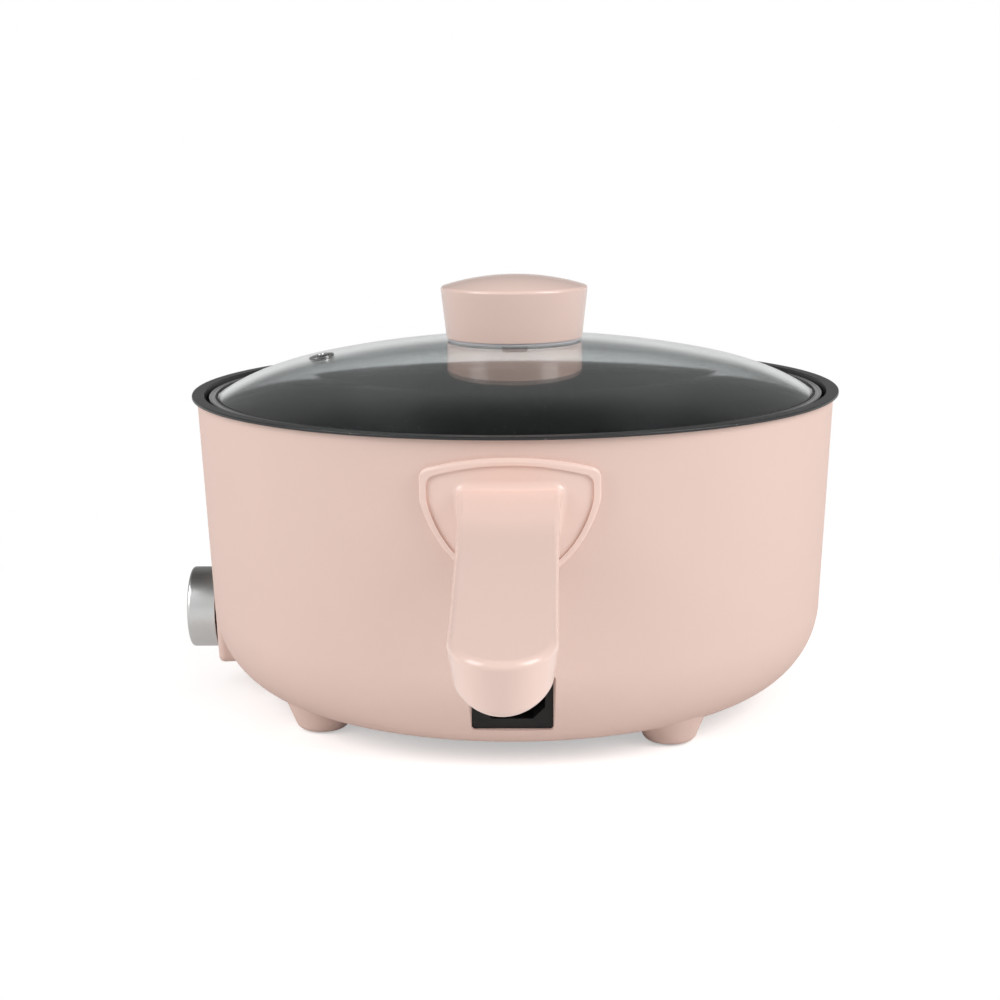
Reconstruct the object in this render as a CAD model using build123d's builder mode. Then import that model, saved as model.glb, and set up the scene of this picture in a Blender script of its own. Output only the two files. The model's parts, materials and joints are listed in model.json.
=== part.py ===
from build123d import *
import math
import os

os.makedirs("parts", exist_ok=True)

# Electric pan: a deep pot fixed in a plastic body, a loose glass lid, one side handle and one
# control dial. The origin is on the pan's axis at table level. The handle and the mains inlet
# point to -Y, and the dial points to -X. Sizes are in millimetres.

# Body shell
foot_height = 6.6
body_height = 122.4
rim_radius = 133.0
rim_overhang = 2.1
wall_taper = 4.0
shell_curve_height = 35.5
shell_curve_reach = 33.2
shell_wall = 2.2

# Feet and their pads
foot_count = 4
foot_inset = 29.4
foot_radius = 9.6
foot_edge = 4.0
foot_draft = 22.0
foot_turn = 38.25
pad_radius = 6.5
pad_thickness = 2.0
pad_proud = 0.5
pad_edge = 0.3

# Rim and pot
rim_thickness = 1.1
rim_width = 4.8
rim_edge = 0.4
throat_taper = 1.3
throat_wall = 1.1
lid_seat_drop = 6.1
lid_seat_width = 7.4
lid_seat_edge = 1.2
base_space = 43.4
pot_wall = 2.2
pot_draft = 7.5
pot_corner = 13.0

# Lid
lid_gap = 0.7
band_sheet = 0.5
band_top_leg = 2.8
band_low_leg = 5.6
glass_thickness = 4.0
glass_shoulder_width = 33.4
glass_shoulder_rise = 12.5
glass_crown_radius = 435.0
glass_hole_radius = 3.2

# Steam vent in the lid
vent_inset = 43.4
vent_azimuth = 183.0
vent_bore_radius = 1.6
vent_tube_radius = 2.6
vent_flange_radius = 5.3
vent_flange_height = 1.2
vent_flange_edge = 0.7
vent_low_flange_radius = 4.2
vent_low_flange_height = 0.9

# Lid knob and its fastening
knob_base_radius = 28.1
knob_top_radius = 30.4
knob_side_height = 20.8
knob_crown = 4.7
knob_edge = 1.3
knob_wall = 3.0
knob_boss_radius = 7.5
seat_thickness = 0.2
seat_inset = 0.6
insert_radius = 4.5
insert_length = 12.0
knob_screw_radius = 2.5
knob_screw_head_radius = 5.5
knob_screw_head_height = 2.6
knob_screw_reach = 9.0
washer_radius = 8.5
washer_thickness = 1.2

# Handle
handle_length = 150.1
handle_root_half_width = 19.5
handle_waist_half_width = 17.2
handle_tip_half_width = 16.5
handle_waist_length = 59.1
handle_tip_length = 19.0
handle_drop = 17.4
handle_fall = 21.0
handle_root_thickness = 23.0
handle_tip_thickness = 18.2
handle_top_edge = 2.2
handle_low_edge = 3.0
handle_side_height = 3.8
handle_side_draft = 0.14
handle_roof = 3.0

# Flare where the handle meets the body
flare_half_width = 32.3
flare_top_drop = 6.3
flare_shoulder_drop = 14.6
flare_corner_drop = 4.8
flare_corner = 4.0
flare_height = 46.6
flare_waist_half_width = 28.2
flare_waist_drop = 26.6
flare_lip = 2.6
flare_lip_edge = 1.4
flare_bead = 2.6
flare_dish_depth = 1.0
flare_root_fillet = 3.0

# Cover in the handle's underside
handle_cover_root_gap = 29.1
handle_cover_tip_gap = 17.0
handle_cover_half_width = 10.0
handle_cover_thickness = 2.8
handle_cover_screw_inset = 14.0
handle_boss_radius = 4.0
small_screw_radius = 1.5
small_screw_head_radius = 2.8
small_screw_head_height = 1.6
small_screw_length = 9.0
screw_head_edge = 0.9

# Handle fixing inside the body
handle_screw_spacing = 24.0
handle_screw_drop = 11.5
handle_screw_radius = 2.5
handle_screw_head_radius = 4.2
handle_screw_head_height = 2.2
handle_screw_length = 27.0
bracket_half_width = 20.0
bracket_height = 18.0
bracket_sheet = 1.2
bracket_corner = 2.0
bracket_depth = 6.5

# Control pod and dial
pod_border = 4.0
pod_bottom = 15.4
pod_inset = 1.0
pod_top = 46.0
pod_inlay = 0.05
pod_bottom_edge = 2.4
pod_side_edge = 2.4
dial_height = 34.8
dial_radius = 17.0
dial_depth = 11.4
dial_wall = 1.8
dial_bevel = 1.3
dial_gap = 0.6
dial_spot_depth = 0.6
pointer_width = 1.4
pointer_length = 8.0
pointer_depth = 0.4
hub_depth = 6.0
shaft_radius = 3.0
shaft_flat = 0.9
shaft_flat_length = 5.4
shaft_tip_gap = 0.6
shaft_engagement = 12.4

# Rotary switch behind the dial
switch_wall = 3.6
switch_size = 24.0
switch_corner = 2.0
switch_depth = 18.0
bush_radius = 4.6
bush_length = 3.4
nut_flat = 12.0
nut_thickness = 2.2
switch_boss_radius = 9.0
tab_width = 4.0
tab_sheet = 0.8
tab_length = 5.0
switch_tab_spacing = 12.0

# Mains inlet
inlet_height = 28.3
inlet_mouth_width = 32.4
inlet_mouth_height = 24.0
inlet_face_width = 30.2
inlet_face_height = 22.4
inlet_face_inset = 11.9
inlet_mouth_proud = 0.1
inlet_corner = 1.2
inlet_boss_half_width = 24.5
inlet_boss_inset = 22.9
inlet_boss_border = 2.2
inlet_flange_sheet = 3.0
inlet_body_depth = 25.0
inlet_body_width = 26.0
inlet_cavity_width = 24.2
inlet_cavity_height = 14.8
inlet_cavity_depth = 17.0
inlet_cavity_chamfer = 4.5
inlet_pin_spacing = 7.0
inlet_pin_rise = 2.0
inlet_pin_width = 2.0
inlet_pin_height = 4.0
inlet_pin_length = 16.0
inlet_pin_tip = 0.4
inlet_screw_spacing = 39.0
inlet_screw_radius = 1.5
inlet_screw_head_radius = 2.8
inlet_screw_head_height = 1.8
inlet_screw_length = 11.0

# Heater under the pot
plate_margin = 32.0
plate_thickness = 5.2
heater_inset = 10.0
heater_tube_radius = 3.4
heater_drop = 1.0
heater_gap_azimuth = 225.0
heater_gap_angle = 24.0
heater_bend = 9.0
heater_end_length = 9.0
seal_radius = 4.0
seal_length = 3.5
heater_pin_radius = 1.2
heater_pin_length = 6.0

# Thermostat and thermal fuse
thermostat_radius = 11.0
thermostat_height = 9.0
thermostat_groove_rise = 4.5
thermostat_groove = 1.8
strap_sheet = 1.0
strap_width = 10.0
strap_half_length = 27.0
strap_half_bridge = 13.5
strap_screw_inset = 5.0
fuse_radius = 2.2
fuse_length = 14.0
fuse_x = 34.0
fuse_y = 22.0
clip_sheet = 0.6
clip_width = 6.0
clip_foot = 5.0

# Heat shield and pillars
pillar_count = 3
pillar_inset = 20.0
pillar_turn = 90.0
pillar_radius = 5.0
pillar_low_radius = 3.5
pillar_spigot_radius = 3.0
pillar_spigot_length = 3.0
shield_inset = 4.0
shield_sheet = 0.6
shield_drop = 14.6
shield_rim = 5.0
shield_vent_radius = 5.0
shield_vent_ring_radius = 38.0
shield_vent_count = 6
shield_nut_flat = 10.5
shield_nut_thickness = 2.6

# Base cover
cover_margin = 2.0
cover_thickness = 2.0
cover_ledge = 5.0
cover_ring_height = 4.2
cover_ring_wall = 4.0
cover_boss_radius = 7.0
cover_boss_height = 7.4
vent_slot_count = 20
vent_slot_ring_radius = 40.0
vent_slot_length = 15.0
vent_slot_width = 3.0
base_screw_radius = 2.0
base_screw_head_radius = 4.2
base_screw_head_height = 2.6
base_screw_seat = 4.4
base_screw_grip = 14.0

# Wiring
wire_radius = 1.3
wire_bend = 2.6
wire_margin = 9.0
wire_drop = 20.6
wire_upper_drop = 12.1
wire_lead = 4.0
live_lead = 3.0
earth_lead = 7.6
earth_inset = 3.0
earth_azimuth = 290.0
earth_tag_radius = 2.8
earth_tag_length = 10.0

# Fits
slip_fit = 0.15
running_fit = 0.05
cover_fit = 0.3
throat_fit = 0.3
screw_hole_fit = 0.2

# Radii, reaches and levels worked out from the sizes above
shell_top_radius = rim_radius - rim_overhang
shell_low_radius = shell_top_radius - wall_taper
shell_flat_radius = shell_low_radius - shell_curve_reach
foot_ring_radius = shell_low_radius - foot_inset
mouth_radius = rim_radius - rim_width
throat_radius = mouth_radius - throat_taper
throat_outer = mouth_radius + throat_wall - rim_edge
pot_top_radius = throat_radius - lid_seat_width
pot_floor_radius = pot_top_radius - pot_draft
plate_radius = pot_floor_radius - plate_margin
heater_ring_radius = plate_radius - heater_inset
pillar_ring_radius = plate_radius - pillar_inset
shield_radius = plate_radius - shield_inset
cover_radius = plate_radius + cover_margin
wire_ring_radius = plate_radius + wire_margin
earth_ring_radius = plate_radius - earth_inset
pod_half_width = dial_radius + pod_border
pod_low_radius = shell_low_radius - pod_inset
inlet_face_reach = shell_low_radius - inlet_face_inset
inlet_mouth_reach = shell_low_radius + inlet_mouth_proud
inlet_boss_reach = shell_low_radius - inlet_boss_inset
bracket_seat = shell_top_radius - bracket_depth
handle_reach = shell_top_radius + handle_length
handle_waist_reach = shell_top_radius + handle_waist_length
handle_cover_start = shell_top_radius + handle_cover_root_gap
handle_cover_end = handle_reach - handle_cover_tip_gap
shaft_bore = shaft_radius + running_fit
rim_top = foot_height + body_height
shell_top = rim_top - rim_thickness
curve_top = foot_height + shell_curve_height
seat_level = rim_top - lid_seat_drop
seat_under = seat_level - pot_wall
pot_floor = foot_height + base_space
pot_under = pot_floor - pot_wall
plate_under = pot_under - plate_thickness
shield_height = plate_under - shield_drop
wire_height = plate_under - wire_drop
wire_upper_height = plate_under - wire_upper_drop
handle_root_top = shell_top - handle_drop
handle_screw_height = handle_root_top - handle_screw_drop
flare_top = shell_top - flare_top_drop
flare_shoulder = flare_top - flare_shoulder_drop
flare_corner_height = flare_top - flare_corner_drop
flare_waist_height = flare_top - flare_waist_drop
flare_low = flare_top - flare_height


def shell_radius(height):
    """Outer radius of the tapered wall at a height above the table."""
    share = (height - curve_top) / (shell_top - curve_top)
    return shell_low_radius + (shell_top_radius - shell_low_radius) * share


def wall_distance(point):
    """Distance of a point outside the tapered wall, measured level."""
    return math.hypot(point.X, point.Y) - shell_radius(point.Z)


def pod_radius(height):
    """Radius of the pod's face, which carries the wall's taper on downwards."""
    share = (height - pod_bottom) / (pod_top - pod_bottom)
    return pod_low_radius + (shell_radius(pod_top) - pod_inlay - pod_low_radius) * share


def front_plane(reach):
    """Plane at a distance in front of the axis, facing the handle's end."""
    return Plane.XZ.offset(reach)


def side_plane(reach, height=0.0):
    """Plane at a distance to the dial's side, facing outwards."""
    return Plane(origin=(-reach, 0, height), x_dir=(0, -1, 0), z_dir=(-1, 0, 0))


def body_form(inset):
    """The body's outside as a solid, drawn in by a wall thickness."""
    with BuildPart() as form:
        with BuildSketch(Plane.XZ):
            with BuildLine():
                low = (shell_flat_radius, foot_height + inset)
                Line((0, foot_height + inset), low)
                curve = EllipticalCenterArc(
                    (shell_flat_radius, curve_top),
                    shell_curve_reach - inset,
                    shell_curve_height - inset,
                    start_angle=270,
                    arc_size=90,
                )
                top = (shell_top_radius - inset, shell_top)
                Line(curve @ 1, top)
                Line(top, (0, shell_top))
                Line((0, shell_top), (0, foot_height + inset))
            make_face()
        revolve(axis=Axis.Z)
    return form.part


def wall_cone(growth):
    """A solid cone on the tapered wall, grown outwards by a thickness."""
    with BuildPart() as cone:
        with BuildSketch(Plane.XZ):
            with BuildLine():
                Polyline(
                    (0, curve_top),
                    (shell_radius(curve_top) + growth, curve_top),
                    (shell_radius(shell_top) + growth, shell_top),
                    (0, shell_top),
                    close=True,
                )
            make_face()
        revolve(axis=Axis.Z)
    return cone.part


def pod_form(inset):
    """The control pod as part of a ring, drawn in by a wall thickness."""
    half_angle = math.degrees(math.asin((pod_half_width - inset) / pod_low_radius))
    turn = math.radians(180 - half_angle)
    start = Plane(
        origin=(0, 0, 0),
        x_dir=(math.cos(turn), math.sin(turn), 0),
        z_dir=(math.sin(turn), -math.cos(turn), 0),
    )
    with BuildPart() as form:
        with BuildSketch(start) as section:
            with BuildLine():
                Polyline(
                    (shell_flat_radius, pod_bottom + inset),
                    (pod_radius(pod_bottom) - inset, pod_bottom + inset),
                    (pod_radius(pod_top) - inset, pod_top),
                    (shell_flat_radius, pod_top),
                    close=True,
                )
            make_face()
            low_corner = section.vertices().group_by(Axis.Y)[0].sort_by(Axis.X)[-1]
            fillet(low_corner, pod_bottom_edge)
        revolve(axis=Axis.Z, revolution_arc=2 * half_angle)
        sides = form.faces().filter_by(GeomType.PLANE).filter_by(lambda f: abs(f.normal_at().Z) < 0.1)
        outer = sides.edges().filter_by(lambda e: math.hypot(e.center().X, e.center().Y) > pod_low_radius - 4)
        fillet(outer, pod_side_edge)
    return form.part


def hex_nut(plane, flat, bore, thickness):
    """A plain hexagon nut that stands on the given plane."""
    with BuildPart() as nut:
        with BuildSketch(plane):
            RegularPolygon(flat / 2, 6, major_radius=False)
            Circle(bore, mode=Mode.SUBTRACT)
        extrude(amount=thickness)
    return nut.part


def pan_screw(plane, shank_radius, shank_length, head_radius, head_height):
    """A screw whose head seat lies on the plane and whose shank follows its normal."""
    with BuildPart() as screw:
        with BuildSketch(plane):
            Circle(shank_radius)
        extrude(amount=shank_length)
        with BuildSketch(plane):
            Circle(head_radius)
        extrude(amount=-head_height)
        ends = screw.edges().filter_by(GeomType.CIRCLE)
        crown = ends.sort_by(lambda e: plane.to_local_coords(e.center()).Z)[0]
        fillet(crown, min(screw_head_edge, 0.45 * head_height))
    return screw.part


# Pot with its black rim: the rim rests on the body's top edge, and a step below it seats the lid.
with BuildPart() as pot:
    with BuildSketch(Plane.XZ) as pot_section:
        with BuildLine():
            Polyline(
                (0, pot_under),
                (pot_floor_radius + pot_wall, pot_under),
                (pot_top_radius + pot_wall, seat_under),
                (throat_outer, seat_under),
                (throat_outer, shell_top),
                (rim_radius, shell_top),
                (rim_radius, rim_top),
                (mouth_radius, rim_top),
                (throat_radius, seat_level),
                (pot_top_radius, seat_level),
                (pot_floor_radius, pot_floor),
                (0, pot_floor),
                close=True,
            )
        make_face()
        corners = pot_section.vertices()
        inner = corners.sort_by_distance((pot_floor_radius, pot_floor))[0]
        outer = corners.sort_by_distance((pot_floor_radius + pot_wall, pot_under))[0]
        fillet(inner, pot_corner)
        fillet(outer, pot_corner + pot_wall)
        seat_lip = pot_section.vertices().sort_by_distance((pot_top_radius, seat_level))[0]
        fillet(seat_lip, lid_seat_edge)
        rim_corners = pot_section.vertices().filter_by(lambda v: abs(v.Y - rim_top) < 0.01)
        fillet(rim_corners, rim_edge)
    revolve(axis=Axis.Z)
pot.part.label = "pot"
export_step(pot.part, "parts/pot.step")

# Feet are moulded bumps on the body, wider at their tops, each with a soft pad let in from below.
foot_low = pad_proud
with BuildPart() as foot:
    with BuildSketch(Plane.XY.offset(foot_low)):
        Circle(foot_radius)
    extrude(amount=foot_height + 3 * shell_wall - foot_low, taper=-foot_draft)
    fillet(foot.edges().group_by(Axis.Z)[0], foot_edge)

# The body shell with its pod, inlet tunnel, floor ring and seats for switch and handle.
cover_rebate = cover_radius + cover_fit
cover_opening = cover_radius - cover_ledge
dial_face = pod_radius(dial_height) - dial_spot_depth
switch_face = dial_face - switch_wall
shaft_inner_reach = switch_face - shaft_engagement
outer_body = body_form(0)
with BuildPart() as inlet_boss:
    with BuildSketch(front_plane(inlet_boss_reach)):
        with Locations((0, inlet_height)):
            Rectangle(2 * inlet_boss_half_width, inlet_mouth_height + 2 * inlet_boss_border)
    extrude(amount=shell_top_radius - inlet_boss_reach)
    add(outer_body, mode=Mode.INTERSECT)
with BuildPart() as handle_pad:
    with BuildSketch(front_plane(bracket_seat)):
        with Locations((0, handle_screw_height)):
            Rectangle(2 * bracket_half_width, bracket_height)
    extrude(amount=shell_top_radius - bracket_seat)
    add(outer_body, mode=Mode.INTERSECT)
with BuildPart() as housing:
    add(outer_body)
    add(pod_form(0))
    with PolarLocations(foot_ring_radius, foot_count, start_angle=foot_turn):
        add(foot.part)
    add(body_form(shell_wall), mode=Mode.SUBTRACT)
    add(pod_form(shell_wall), mode=Mode.SUBTRACT)
    add(inlet_boss.part)
    add(handle_pad.part)
    # seat ring for the switch on the pod's inner face
    with BuildSketch(side_plane(switch_face, dial_height)):
        Circle(switch_boss_radius)
    extrude(amount=switch_wall)
    # floor ring that the base cover closes
    with BuildSketch(Plane.XY.offset(foot_height)):
        Circle(cover_rebate + cover_ring_wall)
    extrude(amount=cover_ring_height)
    with BuildSketch(Plane.XY.offset(foot_height)):
        Circle(cover_opening)
    extrude(amount=cover_ring_height, mode=Mode.SUBTRACT)
    with BuildSketch(Plane.XY.offset(foot_height)):
        Circle(cover_rebate)
    extrude(amount=cover_thickness, mode=Mode.SUBTRACT)
    # step for the pot's throat
    with BuildSketch(Plane.XY.offset(shell_top)):
        Circle(throat_outer + throat_fit)
    extrude(amount=seat_under - shell_top - pot_wall, mode=Mode.SUBTRACT)
    # pad recesses in the feet
    with BuildSketch(Plane.XY.offset(foot_low)):
        with PolarLocations(foot_ring_radius, foot_count, start_angle=foot_turn):
            Circle(pad_radius + slip_fit)
    extrude(amount=pad_thickness - pad_proud, mode=Mode.SUBTRACT)
    # flat round seat for the dial and the hole for the switch's bush
    with BuildSketch(side_plane(dial_face, dial_height)):
        Circle(dial_radius + dial_gap)
    extrude(amount=dial_depth, mode=Mode.SUBTRACT)
    with BuildSketch(side_plane(switch_face - 1, dial_height)):
        Circle(bush_radius + screw_hole_fit)
    extrude(amount=switch_wall + 2, mode=Mode.SUBTRACT)
    # inlet mouth, which narrows to the socket's face
    with BuildSketch(front_plane(inlet_face_reach)):
        with Locations((0, inlet_height)):
            RectangleRounded(inlet_face_width, inlet_face_height, inlet_corner)
    with BuildSketch(front_plane(inlet_mouth_reach)):
        with Locations((0, inlet_height)):
            RectangleRounded(inlet_mouth_width, inlet_mouth_height, inlet_corner)
    loft(ruled=True, mode=Mode.SUBTRACT)
    with BuildSketch(front_plane(inlet_boss_reach - 1)):
        with Locations((0, inlet_height)):
            RectangleRounded(inlet_face_width, inlet_face_height, inlet_corner)
    extrude(amount=inlet_face_reach - inlet_boss_reach + 1, mode=Mode.SUBTRACT)
    with BuildSketch(front_plane(inlet_boss_reach - 1)):
        with Locations((0, inlet_height)):
            with GridLocations(inlet_screw_spacing, 0, 2, 1):
                Circle(inlet_screw_radius + running_fit)
    extrude(amount=inlet_screw_length - inlet_flange_sheet + 1, mode=Mode.SUBTRACT)
    # handle screw holes
    with BuildSketch(front_plane(bracket_seat - 1)):
        with Locations((0, handle_screw_height)):
            with GridLocations(handle_screw_spacing, 0, 2, 1):
                Circle(handle_screw_radius + screw_hole_fit)
    extrude(amount=shell_top_radius - bracket_seat + 2, mode=Mode.SUBTRACT)
housing.part.label = "housing"
export_step(housing.part, "parts/housing.step")

with BuildPart() as foot_pads:
    with BuildSketch():
        with PolarLocations(foot_ring_radius, foot_count, start_angle=foot_turn):
            Circle(pad_radius)
    extrude(amount=pad_thickness)
    chamfer(foot_pads.edges().group_by(Axis.Z)[0], pad_edge)
foot_pads.part.label = "foot_pads"
export_step(foot_pads.part, "parts/foot_pads.step")

# Base cover: closes the floor ring from below and is drawn up against the heater's pillars.
pillar_foot = foot_height + cover_boss_height
screw_seat = foot_height + base_screw_seat
with BuildPart() as base_cover:
    with BuildSketch(Plane.XY.offset(foot_height)):
        Circle(cover_radius)
    extrude(amount=cover_thickness)
    with BuildSketch(Plane.XY.offset(foot_height)):
        with PolarLocations(pillar_ring_radius, pillar_count, start_angle=pillar_turn):
            Circle(cover_boss_radius)
    extrude(amount=cover_boss_height)
    with BuildSketch(Plane.XY.offset(foot_height)):
        with PolarLocations(pillar_ring_radius, pillar_count, start_angle=pillar_turn):
            Circle(base_screw_head_radius + screw_hole_fit)
    extrude(amount=base_screw_seat, mode=Mode.SUBTRACT)
    with BuildSketch(Plane.XY.offset(foot_height)):
        with PolarLocations(pillar_ring_radius, pillar_count, start_angle=pillar_turn):
            Circle(base_screw_radius + screw_hole_fit)
        with PolarLocations(vent_slot_ring_radius, vent_slot_count):
            SlotOverall(vent_slot_length, vent_slot_width)
    extrude(amount=cover_boss_height, mode=Mode.SUBTRACT)
base_cover.part.label = "base_cover"
export_step(base_cover.part, "parts/base_cover.step")

with BuildPart() as base_screws:
    with PolarLocations(pillar_ring_radius, pillar_count, start_angle=pillar_turn):
        add(
            pan_screw(
                Plane.XY.offset(screw_seat),
                base_screw_radius,
                base_screw_grip,
                base_screw_head_radius,
                base_screw_head_height,
            )
        )
base_screws.part.label = "base_screws"
export_step(base_screws.part, "parts/base_screws.step")

# Heater: a tube bent to an open ring and pressed into the underside of an aluminium plate.
heater_level = plate_under - heater_drop
ring_start = heater_gap_azimuth + heater_gap_angle / 2
with BuildLine(Plane.XY.offset(heater_level)) as heater_path:
    ring = CenterArc((0, 0), heater_ring_radius, ring_start, 360 - heater_gap_angle)
    last_bend = JernArc(ring @ 1, ring % 1, heater_bend, -90)
    last_end = Line(last_bend @ 1, (last_bend @ 1) + (last_bend % 1) * heater_end_length)
    first_bend = JernArc(ring @ 0, (ring % 0) * -1, heater_bend, 90)
    first_end = Line(first_bend @ 1, (first_bend @ 1) + (first_bend % 1) * heater_end_length)


def heater_sweep(radius):
    """A round bar of a radius along the heater's path."""
    with BuildPart() as bar:
        with BuildSketch(Plane(origin=last_end @ 1, z_dir=last_end % 1)):
            Circle(radius)
        sweep(path=heater_path.wire())
    return bar.part


with BuildPart() as heater_tube:
    add(heater_sweep(heater_tube_radius))
heater_tube.part.label = "heater_tube"
export_step(heater_tube.part, "parts/heater_tube.step")

end_planes = [Plane(origin=end @ 1, z_dir=end % 1) for end in (last_end, first_end)]
with BuildPart() as heater_seals:
    for end_plane in end_planes:
        with BuildSketch(end_plane):
            Circle(seal_radius)
            Circle(heater_pin_radius, mode=Mode.SUBTRACT)
        extrude(amount=seal_length)
heater_seals.part.label = "heater_seals"
export_step(heater_seals.part, "parts/heater_seals.step")

with BuildPart() as heater_pins:
    for end_plane in end_planes:
        with BuildSketch(end_plane):
            Circle(heater_pin_radius)
        extrude(amount=seal_length + heater_pin_length)
heater_pins.part.label = "heater_pins"
export_step(heater_pins.part, "parts/heater_pins.step")

strap_screw_x = strap_half_length - strap_screw_inset
with BuildPart() as heat_plate:
    with BuildSketch(Plane.XY.offset(plate_under)):
        Circle(plate_radius)
    extrude(amount=plate_thickness)
    add(heater_sweep(heater_tube_radius + running_fit), mode=Mode.SUBTRACT)
    with BuildSketch(Plane.XY.offset(plate_under)):
        with PolarLocations(pillar_ring_radius, pillar_count, start_angle=pillar_turn):
            Circle(pillar_spigot_radius + running_fit)
        with GridLocations(2 * strap_screw_x, 0, 2, 1):
            Circle(small_screw_radius + running_fit)
        with Locations((fuse_x + fuse_radius + clip_foot, fuse_y)):
            Circle(small_screw_radius + running_fit)
        with PolarLocations(earth_ring_radius, 1, start_angle=earth_azimuth):
            Circle(small_screw_radius + running_fit)
    extrude(amount=pillar_spigot_length + running_fit, mode=Mode.SUBTRACT)
heat_plate.part.label = "heat_plate"
export_step(heat_plate.part, "parts/heat_plate.step")

with BuildPart() as pillar:
    with BuildSketch(Plane.XY.offset(shield_height)):
        Circle(pillar_radius)
    extrude(amount=plate_under - shield_height)
    with BuildSketch(Plane.XY.offset(pillar_foot)):
        Circle(pillar_low_radius)
    extrude(amount=shield_height - pillar_foot)
    with BuildSketch(Plane.XY.offset(plate_under)):
        Circle(pillar_spigot_radius)
    extrude(amount=pillar_spigot_length)
    with BuildSketch(Plane.XY.offset(pillar_foot)):
        Circle(base_screw_radius + running_fit)
    extrude(amount=screw_seat + base_screw_grip + 1 - pillar_foot, mode=Mode.SUBTRACT)
with BuildPart() as pillars:
    with PolarLocations(pillar_ring_radius, pillar_count, start_angle=pillar_turn):
        add(pillar.part)
pillars.part.label = "pillars"
export_step(pillars.part, "parts/pillars.step")

shield_under = shield_height - shield_sheet
with BuildPart() as heat_shield:
    with BuildSketch(Plane.XY.offset(shield_under)):
        Circle(shield_radius)
    extrude(amount=shield_rim)
    with BuildSketch(Plane.XY.offset(shield_height)):
        Circle(shield_radius - shield_sheet)
    extrude(amount=shield_rim, mode=Mode.SUBTRACT)
    with BuildSketch(Plane.XY.offset(shield_under)):
        with PolarLocations(pillar_ring_radius, pillar_count, start_angle=pillar_turn):
            Circle(pillar_low_radius + slip_fit)
        with PolarLocations(shield_vent_ring_radius, shield_vent_count):
            Circle(shield_vent_radius)
    extrude(amount=shield_sheet, mode=Mode.SUBTRACT)
heat_shield.part.label = "heat_shield"
export_step(heat_shield.part, "parts/heat_shield.step")

nut_plane = Plane.XY.offset(shield_under - shield_nut_thickness)
with BuildPart() as shield_nuts:
    with PolarLocations(pillar_ring_radius, pillar_count, start_angle=pillar_turn):
        add(hex_nut(nut_plane, shield_nut_flat, pillar_low_radius + running_fit, shield_nut_thickness))
shield_nuts.part.label = "shield_nuts"
export_step(shield_nuts.part, "parts/shield_nuts.step")

# Thermostat in the middle of the plate, held by a bent strap with two screws.
thermostat_low = plate_under - thermostat_height
with BuildPart() as thermostat:
    with BuildSketch(Plane.XY.offset(thermostat_low)):
        Circle(thermostat_radius)
    extrude(amount=thermostat_height)
    with BuildSketch(Plane.XY.offset(thermostat_low + thermostat_groove_rise)):
        Circle(thermostat_radius)
        Circle(thermostat_radius - strap_sheet, mode=Mode.SUBTRACT)
    extrude(amount=thermostat_groove, mode=Mode.SUBTRACT)
thermostat.part.label = "thermostat"
export_step(thermostat.part, "parts/thermostat.step")

with BuildPart() as thermostat_strap:
    with BuildSketch(Plane.XZ.offset(-strap_width / 2)):
        with BuildLine():
            Polyline(
                (-strap_half_length, plate_under - strap_sheet),
                (-strap_half_bridge, plate_under - strap_sheet),
                (-strap_half_bridge, thermostat_low - strap_sheet),
                (strap_half_bridge, thermostat_low - strap_sheet),
                (strap_half_bridge, plate_under - strap_sheet),
                (strap_half_length, plate_under - strap_sheet),
                (strap_half_length, plate_under),
                (strap_half_bridge - strap_sheet, plate_under),
                (strap_half_bridge - strap_sheet, thermostat_low),
                (strap_sheet - strap_half_bridge, thermostat_low),
                (strap_sheet - strap_half_bridge, plate_under),
                (-strap_half_length, plate_under),
                close=True,
            )
        make_face()
    extrude(amount=strap_width)
    with BuildSketch(Plane.XY.offset(plate_under)):
        with GridLocations(2 * strap_screw_x, 0, 2, 1):
            Circle(small_screw_radius + screw_hole_fit)
    extrude(amount=-strap_sheet, mode=Mode.SUBTRACT)
thermostat_strap.part.label = "thermostat_strap"
export_step(thermostat_strap.part, "parts/thermostat_strap.step")

# Thermal fuse in a sleeve under a one-foot clip.
fuse_level = plate_under - fuse_radius
with BuildPart() as thermal_fuse:
    with BuildSketch(Plane.XZ.offset(-fuse_y - fuse_length / 2)):
        with Locations((fuse_x, fuse_level)):
            Circle(fuse_radius)
    extrude(amount=fuse_length)
thermal_fuse.part.label = "thermal_fuse"
export_step(thermal_fuse.part, "parts/thermal_fuse.step")

clip_inner = fuse_radius + running_fit
with BuildPart() as fuse_clip:
    with BuildSketch(Plane.XZ.offset(-fuse_y - clip_width / 2)):
        with Locations((fuse_x, fuse_level)):
            Circle(clip_inner + clip_sheet)
            Circle(clip_inner, mode=Mode.SUBTRACT)
            with Locations((0, clip_inner + clip_sheet)):
                Rectangle(4 * fuse_radius, 2 * clip_inner + 2 * clip_sheet, mode=Mode.SUBTRACT)
        foot_length = fuse_radius + 2 * clip_foot - clip_inner
        with Locations((fuse_x + clip_inner, plate_under - clip_sheet)):
            Rectangle(foot_length, clip_sheet, align=(Align.MIN, Align.MIN))
        with Locations((fuse_x + clip_inner, fuse_level)):
            Rectangle(clip_sheet, plate_under - fuse_level, align=(Align.MIN, Align.MIN))
        with Locations((fuse_x - clip_inner, fuse_level)):
            Rectangle(clip_sheet, plate_under - fuse_level, align=(Align.MAX, Align.MIN))
    extrude(amount=clip_width)
    with BuildSketch(Plane.XY.offset(plate_under)):
        with Locations((fuse_x + fuse_radius + clip_foot, fuse_y)):
            Circle(small_screw_radius + screw_hole_fit)
    extrude(amount=-clip_sheet, mode=Mode.SUBTRACT)
fuse_clip.part.label = "fuse_clip"
export_step(fuse_clip.part, "parts/fuse_clip.step")

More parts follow.
